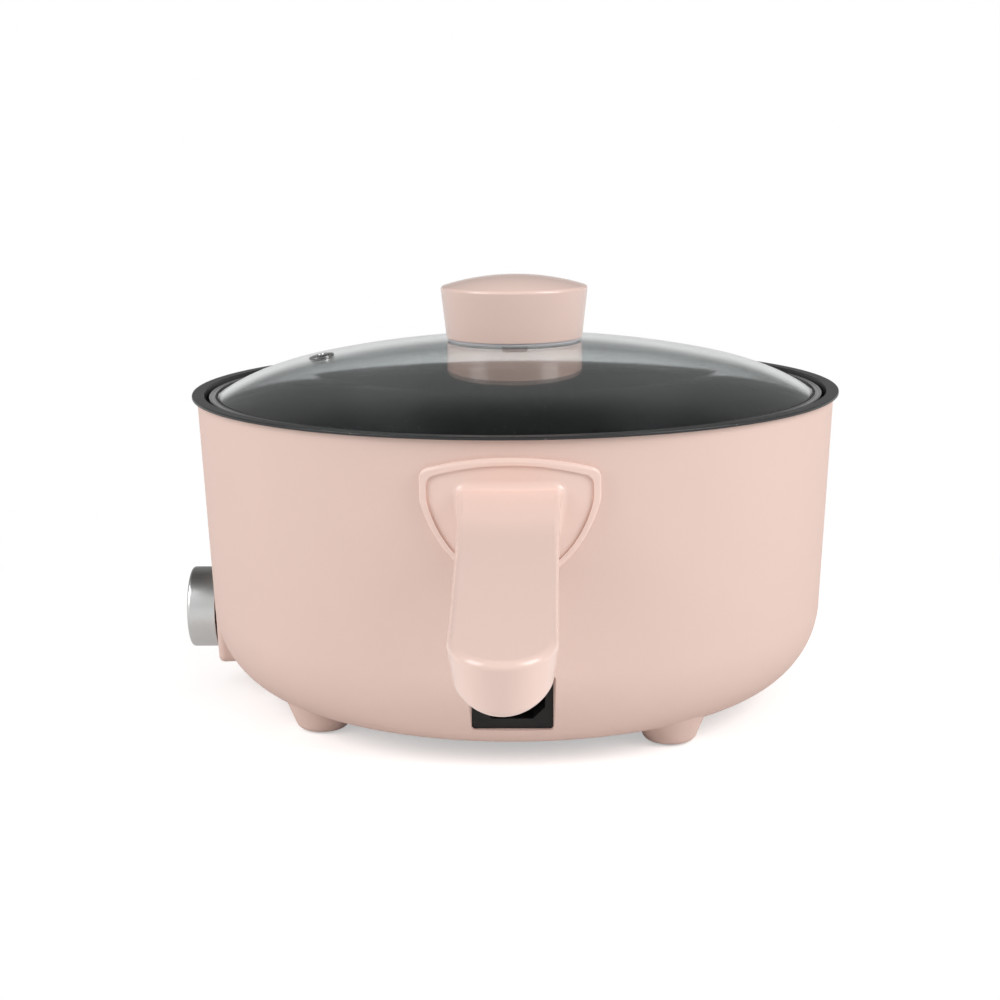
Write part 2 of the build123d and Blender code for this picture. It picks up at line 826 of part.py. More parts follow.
plate_screw_length = pillar_spigot_length + clip_sheet
with BuildPart() as plate_screws:
    for screw_x in (-strap_screw_x, strap_screw_x):
        with Locations((screw_x, 0, 0)):
            add(
                pan_screw(
                    Plane.XY.offset(plate_under - strap_sheet),
                    small_screw_radius,
                    pillar_spigot_length + strap_sheet,
                    small_screw_head_radius,
                    small_screw_head_height,
                )
            )
    with Locations((fuse_x + fuse_radius + clip_foot, fuse_y, 0)):
        add(
            pan_screw(
                Plane.XY.offset(plate_under - clip_sheet),
                small_screw_radius,
                plate_screw_length,
                small_screw_head_radius,
                small_screw_head_height,
            )
        )
plate_screws.part.label = "plate_screws"
export_step(plate_screws.part, "parts/plate_screws.step")

# Rotary switch: its bush passes the pod's wall and its nut hides inside the dial.
switch_back = switch_face - switch_depth
bush_end = dial_face + bush_length
with BuildPart() as rotary_switch:
    with BuildSketch(side_plane(switch_back, dial_height)):
        RectangleRounded(switch_size, switch_size, switch_corner)
    extrude(amount=switch_depth)
    with BuildSketch(side_plane(switch_face, dial_height)):
        Circle(bush_radius)
    extrude(amount=bush_end - switch_face)
    with BuildSketch(side_plane(shaft_inner_reach, dial_height)):
        Circle(shaft_bore)
    extrude(amount=bush_end - shaft_inner_reach, mode=Mode.SUBTRACT)
rotary_switch.part.label = "rotary_switch"
export_step(rotary_switch.part, "parts/rotary_switch.step")

with BuildPart() as switch_tabs:
    with BuildSketch(side_plane(switch_back - tab_length, dial_height)):
        with GridLocations(switch_tab_spacing, 0, 2, 1):
            Rectangle(tab_sheet, tab_width)
    extrude(amount=tab_length)
switch_tabs.part.label = "switch_tabs"
export_step(switch_tabs.part, "parts/switch_tabs.step")

with BuildPart() as switch_nut:
    add(hex_nut(side_plane(dial_face, dial_height), nut_flat, bush_radius + running_fit, nut_thickness))
switch_nut.part.label = "switch_nut"
export_step(switch_nut.part, "parts/switch_nut.step")

# Dial: a satin metal cap on a plastic hub, pushed on the switch's flatted shaft.
dial_back = dial_face + dial_gap
dial_front = dial_back + dial_depth
hub_front = dial_front - dial_wall
hub_back = hub_front - hub_depth
shaft_end = hub_front - shaft_tip_gap
with BuildPart() as dial_cap:
    with BuildSketch(side_plane(dial_back, dial_height)):
        Circle(dial_radius)
    extrude(amount=dial_depth)
    front_edge = dial_cap.edges().filter_by(GeomType.CIRCLE).sort_by(Axis.X)[0]
    chamfer(front_edge, dial_bevel)
    with BuildSketch(side_plane(dial_back, dial_height)):
        Circle(dial_radius - dial_wall)
    extrude(amount=dial_depth - dial_wall, mode=Mode.SUBTRACT)
    with BuildSketch(side_plane(dial_front, dial_height)):
        with Locations((0, dial_radius - dial_bevel - pointer_length / 2)):
            Rectangle(pointer_width, pointer_length)
    extrude(amount=-pointer_depth, mode=Mode.SUBTRACT)
dial_cap.part.label = "dial_cap"
export_step(dial_cap.part, "parts/dial_cap.step")


def shaft_section(radius):
    """Round section with the drive flat at its top."""
    Circle(radius)
    with Locations((0, shaft_radius - shaft_flat + (radius - shaft_radius))):
        Rectangle(2 * radius, 2 * radius, align=(Align.CENTER, Align.MIN), mode=Mode.SUBTRACT)


with BuildPart() as dial_hub:
    with BuildSketch(side_plane(hub_back, dial_height)):
        Circle(dial_radius - dial_wall - running_fit)
    extrude(amount=hub_depth)
    with BuildSketch(side_plane(hub_back, dial_height)):
        shaft_section(shaft_bore)
    extrude(amount=hub_depth - shaft_tip_gap + running_fit, mode=Mode.SUBTRACT)
dial_hub.part.label = "dial_hub"
export_step(dial_hub.part, "parts/dial_hub.step")

flat_start = shaft_end - shaft_flat_length
with BuildPart() as dial_shaft:
    with BuildSketch(side_plane(shaft_inner_reach, dial_height)):
        Circle(shaft_radius)
    extrude(amount=flat_start - shaft_inner_reach)
    with BuildSketch(side_plane(flat_start, dial_height)):
        shaft_section(shaft_radius)
    extrude(amount=shaft_flat_length)
dial_shaft.part.label = "dial_shaft"
export_step(dial_shaft.part, "parts/dial_shaft.step")

# Mains inlet: an insulating socket behind the body's mouth, with three blades.
inlet_back = inlet_face_reach - inlet_body_depth
with BuildPart() as inlet_socket:
    with BuildSketch(front_plane(inlet_boss_reach)):
        with Locations((0, inlet_height)):
            RectangleRounded(
                inlet_face_width - 2 * slip_fit, inlet_face_height - 2 * slip_fit, inlet_corner - slip_fit
            )
    extrude(amount=inlet_face_reach - inlet_boss_reach)
    with BuildSketch(front_plane(inlet_boss_reach)):
        with Locations((0, inlet_height)):
            Rectangle(2 * inlet_boss_half_width, inlet_face_height)
    extrude(amount=-inlet_flange_sheet)
    with BuildSketch(front_plane(inlet_back)):
        with Locations((0, inlet_height)):
            Rectangle(inlet_body_width, inlet_face_height - 2 * slip_fit)
    extrude(amount=inlet_boss_reach - inlet_back)
    with BuildSketch(front_plane(inlet_face_reach)) as cavity_sketch:
        with Locations((0, inlet_height)):
            Rectangle(inlet_cavity_width, inlet_cavity_height)
        lower = cavity_sketch.vertices().group_by(Axis.Y)[0]
        chamfer(lower, inlet_cavity_chamfer)
    extrude(amount=-inlet_cavity_depth, mode=Mode.SUBTRACT)
    with BuildSketch(front_plane(inlet_boss_reach)):
        with Locations((0, inlet_height)):
            with GridLocations(inlet_screw_spacing, 0, 2, 1):
                Circle(inlet_screw_radius + screw_hole_fit)
    extrude(amount=-inlet_flange_sheet, mode=Mode.SUBTRACT)
    with BuildSketch(front_plane(inlet_back)):
        with Locations(
            (-inlet_pin_spacing, inlet_height + inlet_pin_rise),
            (inlet_pin_spacing, inlet_height + inlet_pin_rise),
            (0, inlet_height - inlet_pin_rise),
        ):
            Rectangle(inlet_pin_width, inlet_pin_height)
    extrude(amount=inlet_body_depth, mode=Mode.SUBTRACT)
inlet_socket.part.label = "inlet_socket"
export_step(inlet_socket.part, "parts/inlet_socket.step")

pin_end = inlet_face_reach - inlet_cavity_depth + inlet_pin_length
tab_end = inlet_back - tab_length
with BuildPart() as inlet_pins:
    with BuildSketch(front_plane(tab_end)):
        with Locations(
            (-inlet_pin_spacing, inlet_height + inlet_pin_rise),
            (inlet_pin_spacing, inlet_height + inlet_pin_rise),
            (0, inlet_height - inlet_pin_rise),
        ):
            Rectangle(inlet_pin_width, inlet_pin_height)
    extrude(amount=pin_end - tab_end)
    chamfer(inlet_pins.edges().group_by(Axis.Y)[0], inlet_pin_tip)
inlet_pins.part.label = "inlet_pins"
export_step(inlet_pins.part, "parts/inlet_pins.step")

with BuildPart() as inlet_screws:
    for screw_x in (-inlet_screw_spacing / 2, inlet_screw_spacing / 2):
        with Locations((screw_x, 0, inlet_height)):
            add(
                pan_screw(
                    front_plane(inlet_boss_reach - inlet_flange_sheet),
                    inlet_screw_radius,
                    inlet_screw_length,
                    inlet_screw_head_radius,
                    inlet_screw_head_height,
                )
            )
inlet_screws.part.label = "inlet_screws"
export_step(inlet_screws.part, "parts/inlet_screws.step")


def handle_top(reach):
    """Height of the handle's flat top at a distance in front of the axis."""
    share = (reach - shell_top_radius) / (handle_reach - shell_top_radius)
    return handle_root_top - handle_fall * share


def handle_depth(reach):
    """Thickness of the handle at its middle, at a distance in front of the axis."""
    share = (reach - shell_top_radius) / (handle_reach - shell_top_radius)
    return handle_root_thickness + (handle_tip_thickness - handle_root_thickness) * share


bar_root = shell_low_radius - handle_depth(shell_top_radius) / 2
handle_slope = math.atan(handle_fall / (handle_reach - shell_top_radius))


def handle_plan(plane, inset):
    """The handle's outline on a plane along its top, drawn in at the sides and the tip."""
    tip_start = (handle_reach - handle_tip_length) / math.cos(handle_slope)
    waist = handle_waist_reach / math.cos(handle_slope)
    root = bar_root / math.cos(handle_slope) - 1
    with BuildSketch(plane) as plan:
        with BuildLine():
            Spline(
                (inset - handle_root_half_width, -root),
                (inset - handle_waist_half_width, -waist),
                (inset - handle_tip_half_width, -tip_start),
                tangents=[(0.06, -1), (0, -1)],
            )
            EllipticalCenterArc(
                (0, -tip_start),
                handle_tip_half_width - inset,
                handle_tip_length - inset,
                start_angle=180,
                arc_size=180,
            )
            Spline(
                (handle_tip_half_width - inset, -tip_start),
                (handle_waist_half_width - inset, -waist),
                (handle_root_half_width - inset, -root),
                tangents=[(0, 1), (0.06, 1)],
            )
            Line((handle_root_half_width - inset, -root), (inset - handle_root_half_width, -root))
        make_face()
    return plan.sketch


def handle_prism():
    """A prism square to the handle's top, which narrows downwards."""
    top_plane = Plane(
        origin=(0, 0, handle_top(0)),
        x_dir=(1, 0, 0),
        z_dir=(0, -math.sin(handle_slope), math.cos(handle_slope)),
    )
    above = handle_top_edge
    below = 2 * handle_root_thickness
    with BuildPart() as prism:
        add(handle_plan(top_plane.offset(above), -above * handle_side_draft))
        add(handle_plan(top_plane.offset(-below), below * handle_side_draft))
        loft(ruled=True)
    return prism.part


# Handle bar: a D section, flat above and round below, trimmed to its plan outline.
bar_end = handle_reach + handle_tip_length / 2
section_half = handle_root_half_width + handle_top_edge
with BuildPart() as bar:
    for section_reach in (bar_root, bar_end):
        top = handle_top(section_reach)
        side = top - handle_side_height
        low = top - handle_depth(section_reach)
        with BuildSketch(front_plane(section_reach)):
            with BuildLine():
                Line((-section_half, top), (section_half, top))
                Line((section_half, top), (section_half, side))
                ThreePointArc((section_half, side), (0, low), (-section_half, side))
                Line((-section_half, side), (-section_half, top))
            make_face()
    loft(ruled=True)
    add(handle_prism(), mode=Mode.INTERSECT)
    outside = bar.edges().filter_by(lambda e: e.center().Y < -bar_root - 1)
    top_edges = outside.filter_by(lambda e: abs(e.center().Z - handle_top(-e.center().Y)) < 0.6)
    fillet(top_edges, handle_top_edge)
    outside = bar.edges().filter_by(lambda e: e.center().Y < -bar_root - 1)
    low_edges = outside.filter_by(lambda e: e.center().Z < handle_top(-e.center().Y) - 2 * handle_top_edge)
    fillet(low_edges, handle_low_edge)

# Lip plate of the flare, which lies on the tapered wall and is dished inside its lip.


def flare_form(inset):
    """The flare's outline as a solid through the wall, drawn in from its lip."""
    half_width = flare_half_width - inset
    waist_half_width = flare_waist_half_width - inset
    corner_height = flare_corner_height - inset
    with BuildPart() as form:
        with BuildSketch(front_plane(shell_low_radius - flare_half_width)):
            with BuildLine():
                Spline(
                    (-half_width, flare_shoulder),
                    (-waist_half_width, flare_waist_height),
                    (0, flare_low + inset),
                    (waist_half_width, flare_waist_height),
                    (half_width, flare_shoulder),
                    tangents=[(0, -1), (0, 1)],
                    tangent_scalars=(0.5, 0.5),
                )
                Line((half_width, flare_shoulder), (half_width, corner_height))
                ThreePointArc(
                    (half_width, corner_height), (0, flare_top - inset), (-half_width, corner_height)
                )
                Line((-half_width, corner_height), (-half_width, flare_shoulder))
            make_face()
            upper = vertices().group_by(Axis.Y)[-1]
            fillet(upper, flare_corner)
        extrude(amount=flare_half_width + shell_top_radius - shell_low_radius + 2 * flare_lip)
    return form.part


with BuildPart() as flare_dish:
    add(flare_form(flare_bead))
    add(wall_cone(2 * flare_lip), mode=Mode.INTERSECT)
    add(wall_cone(flare_lip - flare_dish_depth), mode=Mode.SUBTRACT)
with BuildPart() as flare_plate:
    add(flare_form(0))
    add(wall_cone(flare_lip), mode=Mode.INTERSECT)
    add(wall_cone(0), mode=Mode.SUBTRACT)
    lip_edges = flare_plate.edges().filter_by(
        lambda e: abs(wall_distance(e.center()) - flare_lip) < flare_lip / 2
    )
    fillet(lip_edges, flare_lip_edge)
    add(flare_dish.part, mode=Mode.SUBTRACT)

# The slot in the handle's underside and what is left above its cover.
cover_middle = (handle_cover_start + handle_cover_end) / 2
cover_length = handle_cover_end - handle_cover_start
boss_reaches = (handle_cover_start + handle_cover_screw_inset, handle_cover_end - handle_cover_screw_inset)


def cover_prism(growth):
    """A tall slot under the handle, grown by a clearance."""
    with BuildPart() as prism:
        with BuildSketch(Plane.XY):
            with Locations((0, -cover_middle)):
                SlotOverall(cover_length + 2 * growth, 2 * (handle_cover_half_width + growth), rotation=90)
        extrude(amount=shell_top)
    return prism.part


bar_low = bar.part.moved(Location((0, 0, -handle_roof)))
bar_high = bar.part.moved(Location((0, 0, handle_cover_thickness)))
with BuildPart() as handle_cavity:
    add(cover_prism(slip_fit))
    add(bar_low, mode=Mode.INTERSECT)
with BuildPart() as handle_bosses:
    with BuildSketch(Plane.XY):
        with Locations(*[(0, -reach) for reach in boss_reaches]):
            Circle(handle_boss_radius)
    extrude(amount=shell_top)
    add(bar.part, mode=Mode.INTERSECT)
    add(bar_high, mode=Mode.INTERSECT)
with BuildPart() as handle:
    add(bar.part)
    add(flare_plate.part)
    add(wall_cone(0), mode=Mode.SUBTRACT)
    dish_floor = flare_lip - flare_dish_depth
    near_wall = handle.edges().filter_by(
        lambda e: abs(wall_distance(e.center()) - dish_floor) < flare_dish_depth / 2
    )
    root_middle = handle_root_top - handle_root_thickness / 2
    joint_edges = near_wall.filter_by(
        lambda e: abs(e.center().X) < handle_root_half_width + flare_lip
        and abs(e.center().Z - root_middle) < handle_root_thickness / 2 + handle_top_edge
    )
    fillet(joint_edges, flare_root_fillet)
    add(handle_cavity.part, mode=Mode.SUBTRACT)
    add(handle_bosses.part)
    with BuildSketch(front_plane(shell_low_radius)):
        with Locations((0, handle_screw_height)):
            with GridLocations(handle_screw_spacing, 0, 2, 1):
                Circle(handle_screw_radius + running_fit)
    extrude(
        amount=bracket_seat - bracket_sheet + handle_screw_length + 1 - shell_low_radius,
        mode=Mode.SUBTRACT,
    )
    for reach in boss_reaches:
        boss_foot = handle_top(reach) - handle_depth(reach) + handle_cover_thickness
        with BuildSketch(Plane.XY.offset(boss_foot - 1)):
            with Locations((0, -reach)):
                Circle(small_screw_radius + running_fit)
        extrude(amount=small_screw_length + 1, mode=Mode.SUBTRACT)
handle.part.label = "handle"
export_step(handle.part, "parts/handle.step")

with BuildPart() as handle_cover:
    add(cover_prism(0))
    add(bar.part, mode=Mode.INTERSECT)
    add(bar_high, mode=Mode.SUBTRACT)
    for reach in boss_reaches:
        cover_low = handle_top(reach) - handle_depth(reach)
        with BuildSketch(Plane.XY.offset(cover_low - 1)):
            with Locations((0, -reach)):
                Circle(small_screw_head_radius + screw_hole_fit)
        extrude(amount=small_screw_head_height + 1, mode=Mode.SUBTRACT)
        with BuildSketch(Plane.XY.offset(cover_low - 1)):
            with Locations((0, -reach)):
                Circle(small_screw_radius + screw_hole_fit)
        extrude(amount=handle_cover_thickness + 2, mode=Mode.SUBTRACT)
handle_cover.part.label = "handle_cover"
export_step(handle_cover.part, "parts/handle_cover.step")

with BuildPart() as handle_cover_screws:
    for reach in boss_reaches:
        head_seat = handle_top(reach) - handle_depth(reach) + small_screw_head_height
        with Locations((0, -reach, 0)):
            add(
                pan_screw(
                    Plane.XY.offset(head_seat),
                    small_screw_radius,
                    small_screw_length,
                    small_screw_head_radius,
                    small_screw_head_height,
                )
            )
handle_cover_screws.part.label = "handle_cover_screws"
export_step(handle_cover_screws.part, "parts/handle_cover_screws.step")

with BuildPart() as handle_bracket:
    with BuildSketch(front_plane(bracket_seat - bracket_sheet)):
        with Locations((0, handle_screw_height)):
            RectangleRounded(2 * bracket_half_width, bracket_height, bracket_corner)
            with GridLocations(handle_screw_spacing, 0, 2, 1):
                Circle(handle_screw_radius + screw_hole_fit, mode=Mode.SUBTRACT)
    extrude(amount=bracket_sheet)
handle_bracket.part.label = "handle_bracket"
export_step(handle_bracket.part, "parts/handle_bracket.step")

with BuildPart() as handle_screws:
    for screw_x in (-handle_screw_spacing / 2, handle_screw_spacing / 2):
        with Locations((screw_x, 0, handle_screw_height)):
            add(
                pan_screw(
                    front_plane(bracket_seat - bracket_sheet),
                    handle_screw_radius,
                    handle_screw_length,
                    handle_screw_head_radius,
                    handle_screw_head_height,
                )
            )
handle_screws.part.label = "handle_screws"
export_step(handle_screws.part, "parts/handle_screws.step")

# Lid band: a rolled steel channel round the glass, which stands on the pot's step.
band_radius = throat_radius - lid_gap
band_height = glass_thickness + 2 * (band_sheet + running_fit)
band_top = seat_level + band_height
with BuildPart() as lid_band:
    with BuildSketch(Plane.XZ) as band_section:
        with BuildLine():
            Polyline(
                (band_radius - band_low_leg, seat_level),
                (band_radius, seat_level),
                (band_radius, band_top),
                (band_radius - band_top_leg, band_top),
                (band_radius - band_top_leg, band_top - band_sheet),
                (band_radius - band_sheet, band_top - band_sheet),
                (band_radius - band_sheet, seat_level + band_sheet),
                (band_radius - band_low_leg, seat_level + band_sheet),
                close=True,
            )
        make_face()
        rolled = band_section.vertices().filter_by(lambda v: abs(v.X - band_radius) < 0.01)
        fillet(rolled, 0.45 * band_sheet)
    revolve(axis=Axis.Z)
lid_band.part.label = "lid_band"
export_step(lid_band.part, "parts/lid_band.step")

# Lid glass: a flat rim in the band, a rounded shoulder and a wide shallow crown.
glass_rim = band_radius - band_sheet - running_fit
glass_low = seat_level + band_sheet + running_fit
glass_rim_top = glass_low + glass_thickness
glass_edge = band_radius - band_top_leg
glass_shoulder_radius = glass_edge - glass_shoulder_width
vent_distance = glass_edge - vent_inset
crown_slope = math.asin(glass_shoulder_radius / glass_crown_radius)
crown_centre = glass_rim_top + glass_shoulder_rise - glass_crown_radius * math.cos(crown_slope)
glass_apex = crown_centre + glass_crown_radius


def dome_height(distance):
    """Height of the glass's outer crown at a distance from the axis, inside its shoulder."""
    return crown_centre + math.sqrt(glass_crown_radius**2 - distance**2)


def dome_lines(depth, end):
    """The crown and shoulder at a depth below the outer surface, down to an end point."""
    radius = glass_crown_radius - depth
    shoulder = (radius * math.sin(crown_slope), crown_centre + radius * math.cos(crown_slope))
    middle = (
        radius * math.sin(crown_slope / 2),
        crown_centre + radius * math.cos(crown_slope / 2),
    )
    crown_arc = ThreePointArc((0, crown_centre + radius), middle, shoulder)
    return crown_arc, TangentArc(shoulder, end, tangent=crown_arc % 1)


vent_angle = math.radians(vent_azimuth)
vent_slope = math.asin(vent_distance / glass_crown_radius)
vent_plane = Plane(
    origin=(
        vent_distance * math.cos(vent_angle),
        vent_distance * math.sin(vent_angle),
        dome_height(vent_distance),
    ),
    z_dir=(
        math.sin(vent_slope) * math.cos(vent_angle),
        math.sin(vent_slope) * math.sin(vent_angle),
        math.cos(vent_slope),
    ),
)
with BuildPart() as lid_glass:
    with BuildSketch(Plane.XZ):
        with BuildLine():
            outer_crown, outer_shoulder = dome_lines(0, (glass_edge, glass_rim_top))
            end_slope = math.atan2(-(outer_shoulder % 1).Y, (outer_shoulder % 1).X)
            inner_end = (glass_edge - glass_thickness * math.tan(end_slope / 2), glass_low)
            inner_crown = dome_lines(glass_thickness, inner_end)[0]
            Line((glass_edge, glass_rim_top), (glass_rim, glass_rim_top))
            Line((glass_rim, glass_rim_top), (glass_rim, glass_low))
            Line((glass_rim, glass_low), inner_end)
            Line(outer_crown @ 0, inner_crown @ 0)
        make_face()
    revolve(axis=Axis.Z)
    with BuildSketch(Plane.XY.offset(glass_low)):
        Circle(glass_hole_radius)
    extrude(amount=glass_apex - glass_low + 1, mode=Mode.SUBTRACT)
    with BuildSketch(vent_plane):
        Circle(vent_tube_radius + slip_fit)
    extrude(amount=vent_flange_height, both=True, mode=Mode.SUBTRACT)
    with BuildSketch(vent_plane):
        Circle(vent_tube_radius + slip_fit)
    extrude(amount=-glass_thickness - vent_flange_height, mode=Mode.SUBTRACT)
lid_glass.part.label = "lid_glass"
export_step(lid_glass.part, "parts/lid_glass.step")

# Steam vent: a rolled metal eyelet through the glass.
with BuildPart() as steam_vent:
    with BuildSketch(vent_plane):
        Circle(vent_flange_radius)
    extrude(amount=vent_flange_height)
    fillet(steam_vent.faces().sort_by(Axis.Z)[-1].edges(), vent_flange_edge)
    with BuildSketch(vent_plane):
        Circle(vent_tube_radius)
    extrude(amount=-glass_thickness - vent_flange_height)
    with BuildSketch(vent_plane.offset(-glass_thickness - running_fit)):
        Circle(vent_low_flange_radius)
    extrude(amount=-vent_low_flange_height)
    with BuildSketch(vent_plane.offset(vent_flange_height)):
        Circle(vent_bore_radius)
    extrude(amount=-glass_thickness - 3 * vent_flange_height, mode=Mode.SUBTRACT)
steam_vent.part.label = "steam_vent"
export_step(steam_vent.part, "parts/steam_vent.step")

# Lid knob: a hollow moulding with a boss, a brass insert, a seat washer and a screw from below.
knob_base = glass_apex + seat_thickness
knob_shoulder = knob_base + knob_side_height
with BuildPart() as lid_knob:
    with BuildSketch(Plane.XZ) as knob_section:
        with BuildLine():
            Line((0, knob_base), (knob_base_radius, knob_base))
            Line((knob_base_radius, knob_base), (knob_top_radius, knob_shoulder))
            TangentArc((0, knob_shoulder + knob_crown), (knob_top_radius, knob_shoulder), tangent=(1, 0))
            Line((0, knob_shoulder + knob_crown), (0, knob_base))
        make_face()
        shoulder_corner = knob_section.vertices().sort_by_distance((knob_top_radius, knob_shoulder))[0]
        fillet(shoulder_corner, knob_edge)
    revolve(axis=Axis.Z)
    with BuildSketch(Plane.XZ):
        with BuildLine():
            Polyline(
                (knob_boss_radius, knob_base),
                (knob_base_radius - knob_wall, knob_base),
                (knob_top_radius - knob_wall, knob_shoulder - knob_wall),
                (knob_boss_radius, knob_shoulder - knob_wall),
                close=True,
            )
        make_face()
    revolve(axis=Axis.Z, mode=Mode.SUBTRACT)
    with BuildSketch(Plane.XY.offset(knob_base)):
        Circle(insert_radius)
    extrude(amount=insert_length, mode=Mode.SUBTRACT)
lid_knob.part.label = "lid_knob"
export_step(lid_knob.part, "parts/lid_knob.step")

with BuildPart() as knob_insert:
    with BuildSketch(Plane.XY.offset(knob_base)):
        Circle(insert_radius)
        Circle(knob_screw_radius + running_fit, mode=Mode.SUBTRACT)
    extrude(amount=insert_length)
knob_insert.part.label = "knob_insert"
export_step(knob_insert.part, "parts/knob_insert.step")

seat_radius = knob_base_radius - seat_inset
screw_bore = knob_screw_radius + screw_hole_fit
with BuildPart() as knob_seat:
    with BuildSketch(Plane.XZ):
        with BuildLine():
            ThreePointArc(
                (screw_bore, dome_height(screw_bore)),
                (seat_radius / 2, dome_height(seat_radius / 2)),
                (seat_radius, dome_height(seat_radius)),
            )
            Line((seat_radius, dome_height(seat_radius)), (seat_radius, knob_base))
            Line((seat_radius, knob_base), (screw_bore, knob_base))
            Line((screw_bore, knob_base), (screw_bore, dome_height(screw_bore)))
        make_face()
    revolve(axis=Axis.Z)
knob_seat.part.label = "knob_seat"
export_step(knob_seat.part, "parts/knob_seat.step")

washer_top = crown_centre + math.sqrt((glass_crown_radius - glass_thickness) ** 2 - washer_radius**2)
with BuildPart() as knob_washer:
    with BuildSketch(Plane.XY.offset(washer_top)):
        Circle(washer_radius)
        Circle(screw_bore, mode=Mode.SUBTRACT)
    extrude(amount=-washer_thickness)
knob_washer.part.label = "knob_washer"
export_step(knob_washer.part, "parts/knob_washer.step")

with BuildPart() as knob_screw:
    add(
        pan_screw(
            Plane.XY.offset(washer_top - washer_thickness),
            knob_screw_radius,
            knob_base + knob_screw_reach - washer_top + washer_thickness,
            knob_screw_head_radius,
            knob_screw_head_height,
        )
    )
knob_screw.part.label = "knob_screw"
export_step(knob_screw.part, "parts/knob_screw.step")


def ring_point(radius, azimuth, height):
    """A point at a radius and azimuth about the pan's axis."""
    angle = math.radians(azimuth)
    return Vector(radius * math.cos(angle), radius * math.sin(angle), height)


def wire(points, bend):
    """A round insulated wire through the points, with its corners bent to a radius."""
    with BuildLine() as path:
        FilletPolyline(*points, radius=bend)
    with BuildPart() as run:
        with BuildSketch(Plane(origin=path.wire() @ 0, z_dir=path.wire() % 0)):
            Circle(wire_radius)
        sweep(path=path.wire())
    return run.part


# Wires under the pot: each leaves a blade or tab straight and ends on the piece that it feeds.
blade_height = inlet_height + inlet_pin_rise
earth_height = inlet_height - inlet_pin_rise
blade_clear = tab_end - wire_lead
live_drop = tab_end - live_lead
earth_clear = tab_end - earth_lead
switch_tab_end = switch_back - tab_length
half_tabs = switch_tab_spacing / 2
pin_underside = heater_level - heater_pin_radius
pin_middles = [plane.origin + plane.z_dir * (seal_length + heater_pin_length / 2) for plane in end_planes]
first_pin, second_pin = pin_middles

with BuildPart() as wire_live:
    add(
        wire(
            [
                (inlet_pin_spacing, -tab_end, blade_height),
                (inlet_pin_spacing, -live_drop, blade_height),
                (inlet_pin_spacing, -live_drop, wire_height),
                ring_point(wire_ring_radius - 3, 262, wire_height),
                ring_point(wire_ring_radius, 240, wire_height),
                ring_point(wire_ring_radius, 216, wire_height),
                ring_point(wire_ring_radius, 192, wire_height),
                (-switch_tab_end + 2 * wire_lead, half_tabs, wire_height + 4),
                (-switch_tab_end + 1.6 * wire_lead, half_tabs, dial_height),
                (-switch_tab_end, half_tabs, dial_height),
            ],
            wire_bend,
        )
    )
wire_live.part.label = "wire_live"
export_step(wire_live.part, "parts/wire_live.step")

with BuildPart() as wire_neutral:
    add(
        wire(
            [
                (-inlet_pin_spacing, -tab_end, blade_height),
                (-inlet_pin_spacing, -blade_clear, blade_height),
                ring_point(wire_ring_radius - 2, 257, wire_upper_height),
                (second_pin.X, second_pin.Y, wire_upper_height),
                (second_pin.X, second_pin.Y, pin_underside),
            ],
            wire_bend,
        )
    )
wire_neutral.part.label = "wire_neutral"
export_step(wire_neutral.part, "parts/wire_neutral.step")

with BuildPart() as wire_switched:
    add(
        wire(
            [
                (-switch_tab_end, -half_tabs, dial_height),
                (-switch_tab_end + wire_lead, -half_tabs, dial_height),
                ring_point(wire_ring_radius + 3, 195, wire_upper_height + 1),
                (first_pin.X, first_pin.Y, wire_upper_height),
                (first_pin.X, first_pin.Y, pin_underside),
            ],
            wire_bend,
        )
    )
wire_switched.part.label = "wire_switched"
export_step(wire_switched.part, "parts/wire_switched.step")

earth_point = ring_point(earth_ring_radius, earth_azimuth, plate_under)
with BuildPart() as earth_tag:
    with BuildSketch(Plane.XY.offset(plate_under)):
        with Locations((earth_point.X, earth_point.Y)):
            Circle(earth_tag_radius)
            Rectangle(tab_width, earth_tag_length, align=(Align.CENTER, Align.MAX))
            Circle(small_screw_radius + screw_hole_fit, mode=Mode.SUBTRACT)
    extrude(amount=-tab_sheet)
earth_tag.part.label = "earth_tag"
export_step(earth_tag.part, "parts/earth_tag.step")

with BuildPart() as earth_screw:
    with Locations((earth_point.X, earth_point.Y, 0)):
        add(
            pan_screw(
                Plane.XY.offset(plate_under - tab_sheet),
                small_screw_radius,
                tab_sheet + pillar_spigot_length,
                small_screw_head_radius,
                small_screw_head_height,
            )
        )
earth_screw.part.label = "earth_screw"
export_step(earth_screw.part, "parts/earth_screw.step")

tag_end = earth_point.Y - earth_tag_length + wire_radius
with BuildPart() as wire_earth:
    add(
        wire(
            [
                (0, -tab_end, earth_height),
                (0, -earth_clear, earth_height),
                (earth_point.X / 2, -earth_clear, earth_height + 0.5),
                (earth_point.X, tag_end, earth_height + 1),
                (earth_point.X, tag_end, plate_under - tab_sheet),
            ],
            wire_bend,
        )
    )
wire_earth.part.label = "wire_earth"
export_step(wire_earth.part, "parts/wire_earth.step")
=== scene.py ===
# %% [markdown]
# # An electric pan
# The pan was modelled as solids first: its pot, shell, handle, dial, lid and everything under the
# pot. This lesson dresses those solids. It sets up a camera and a plain studio, gives every solid
# a finish made from shader nodes, and models the pieces that deserve more detail than a solid
# needs: the lid's hoop, gasket and glass, the steam vent, the dial, the foot pads and the screws.
# Everything is in metres, in the solids' own frame: the table is at zero and the pan's axis is Z.

import json
import math

import bpy
from mathutils import Matrix, Vector


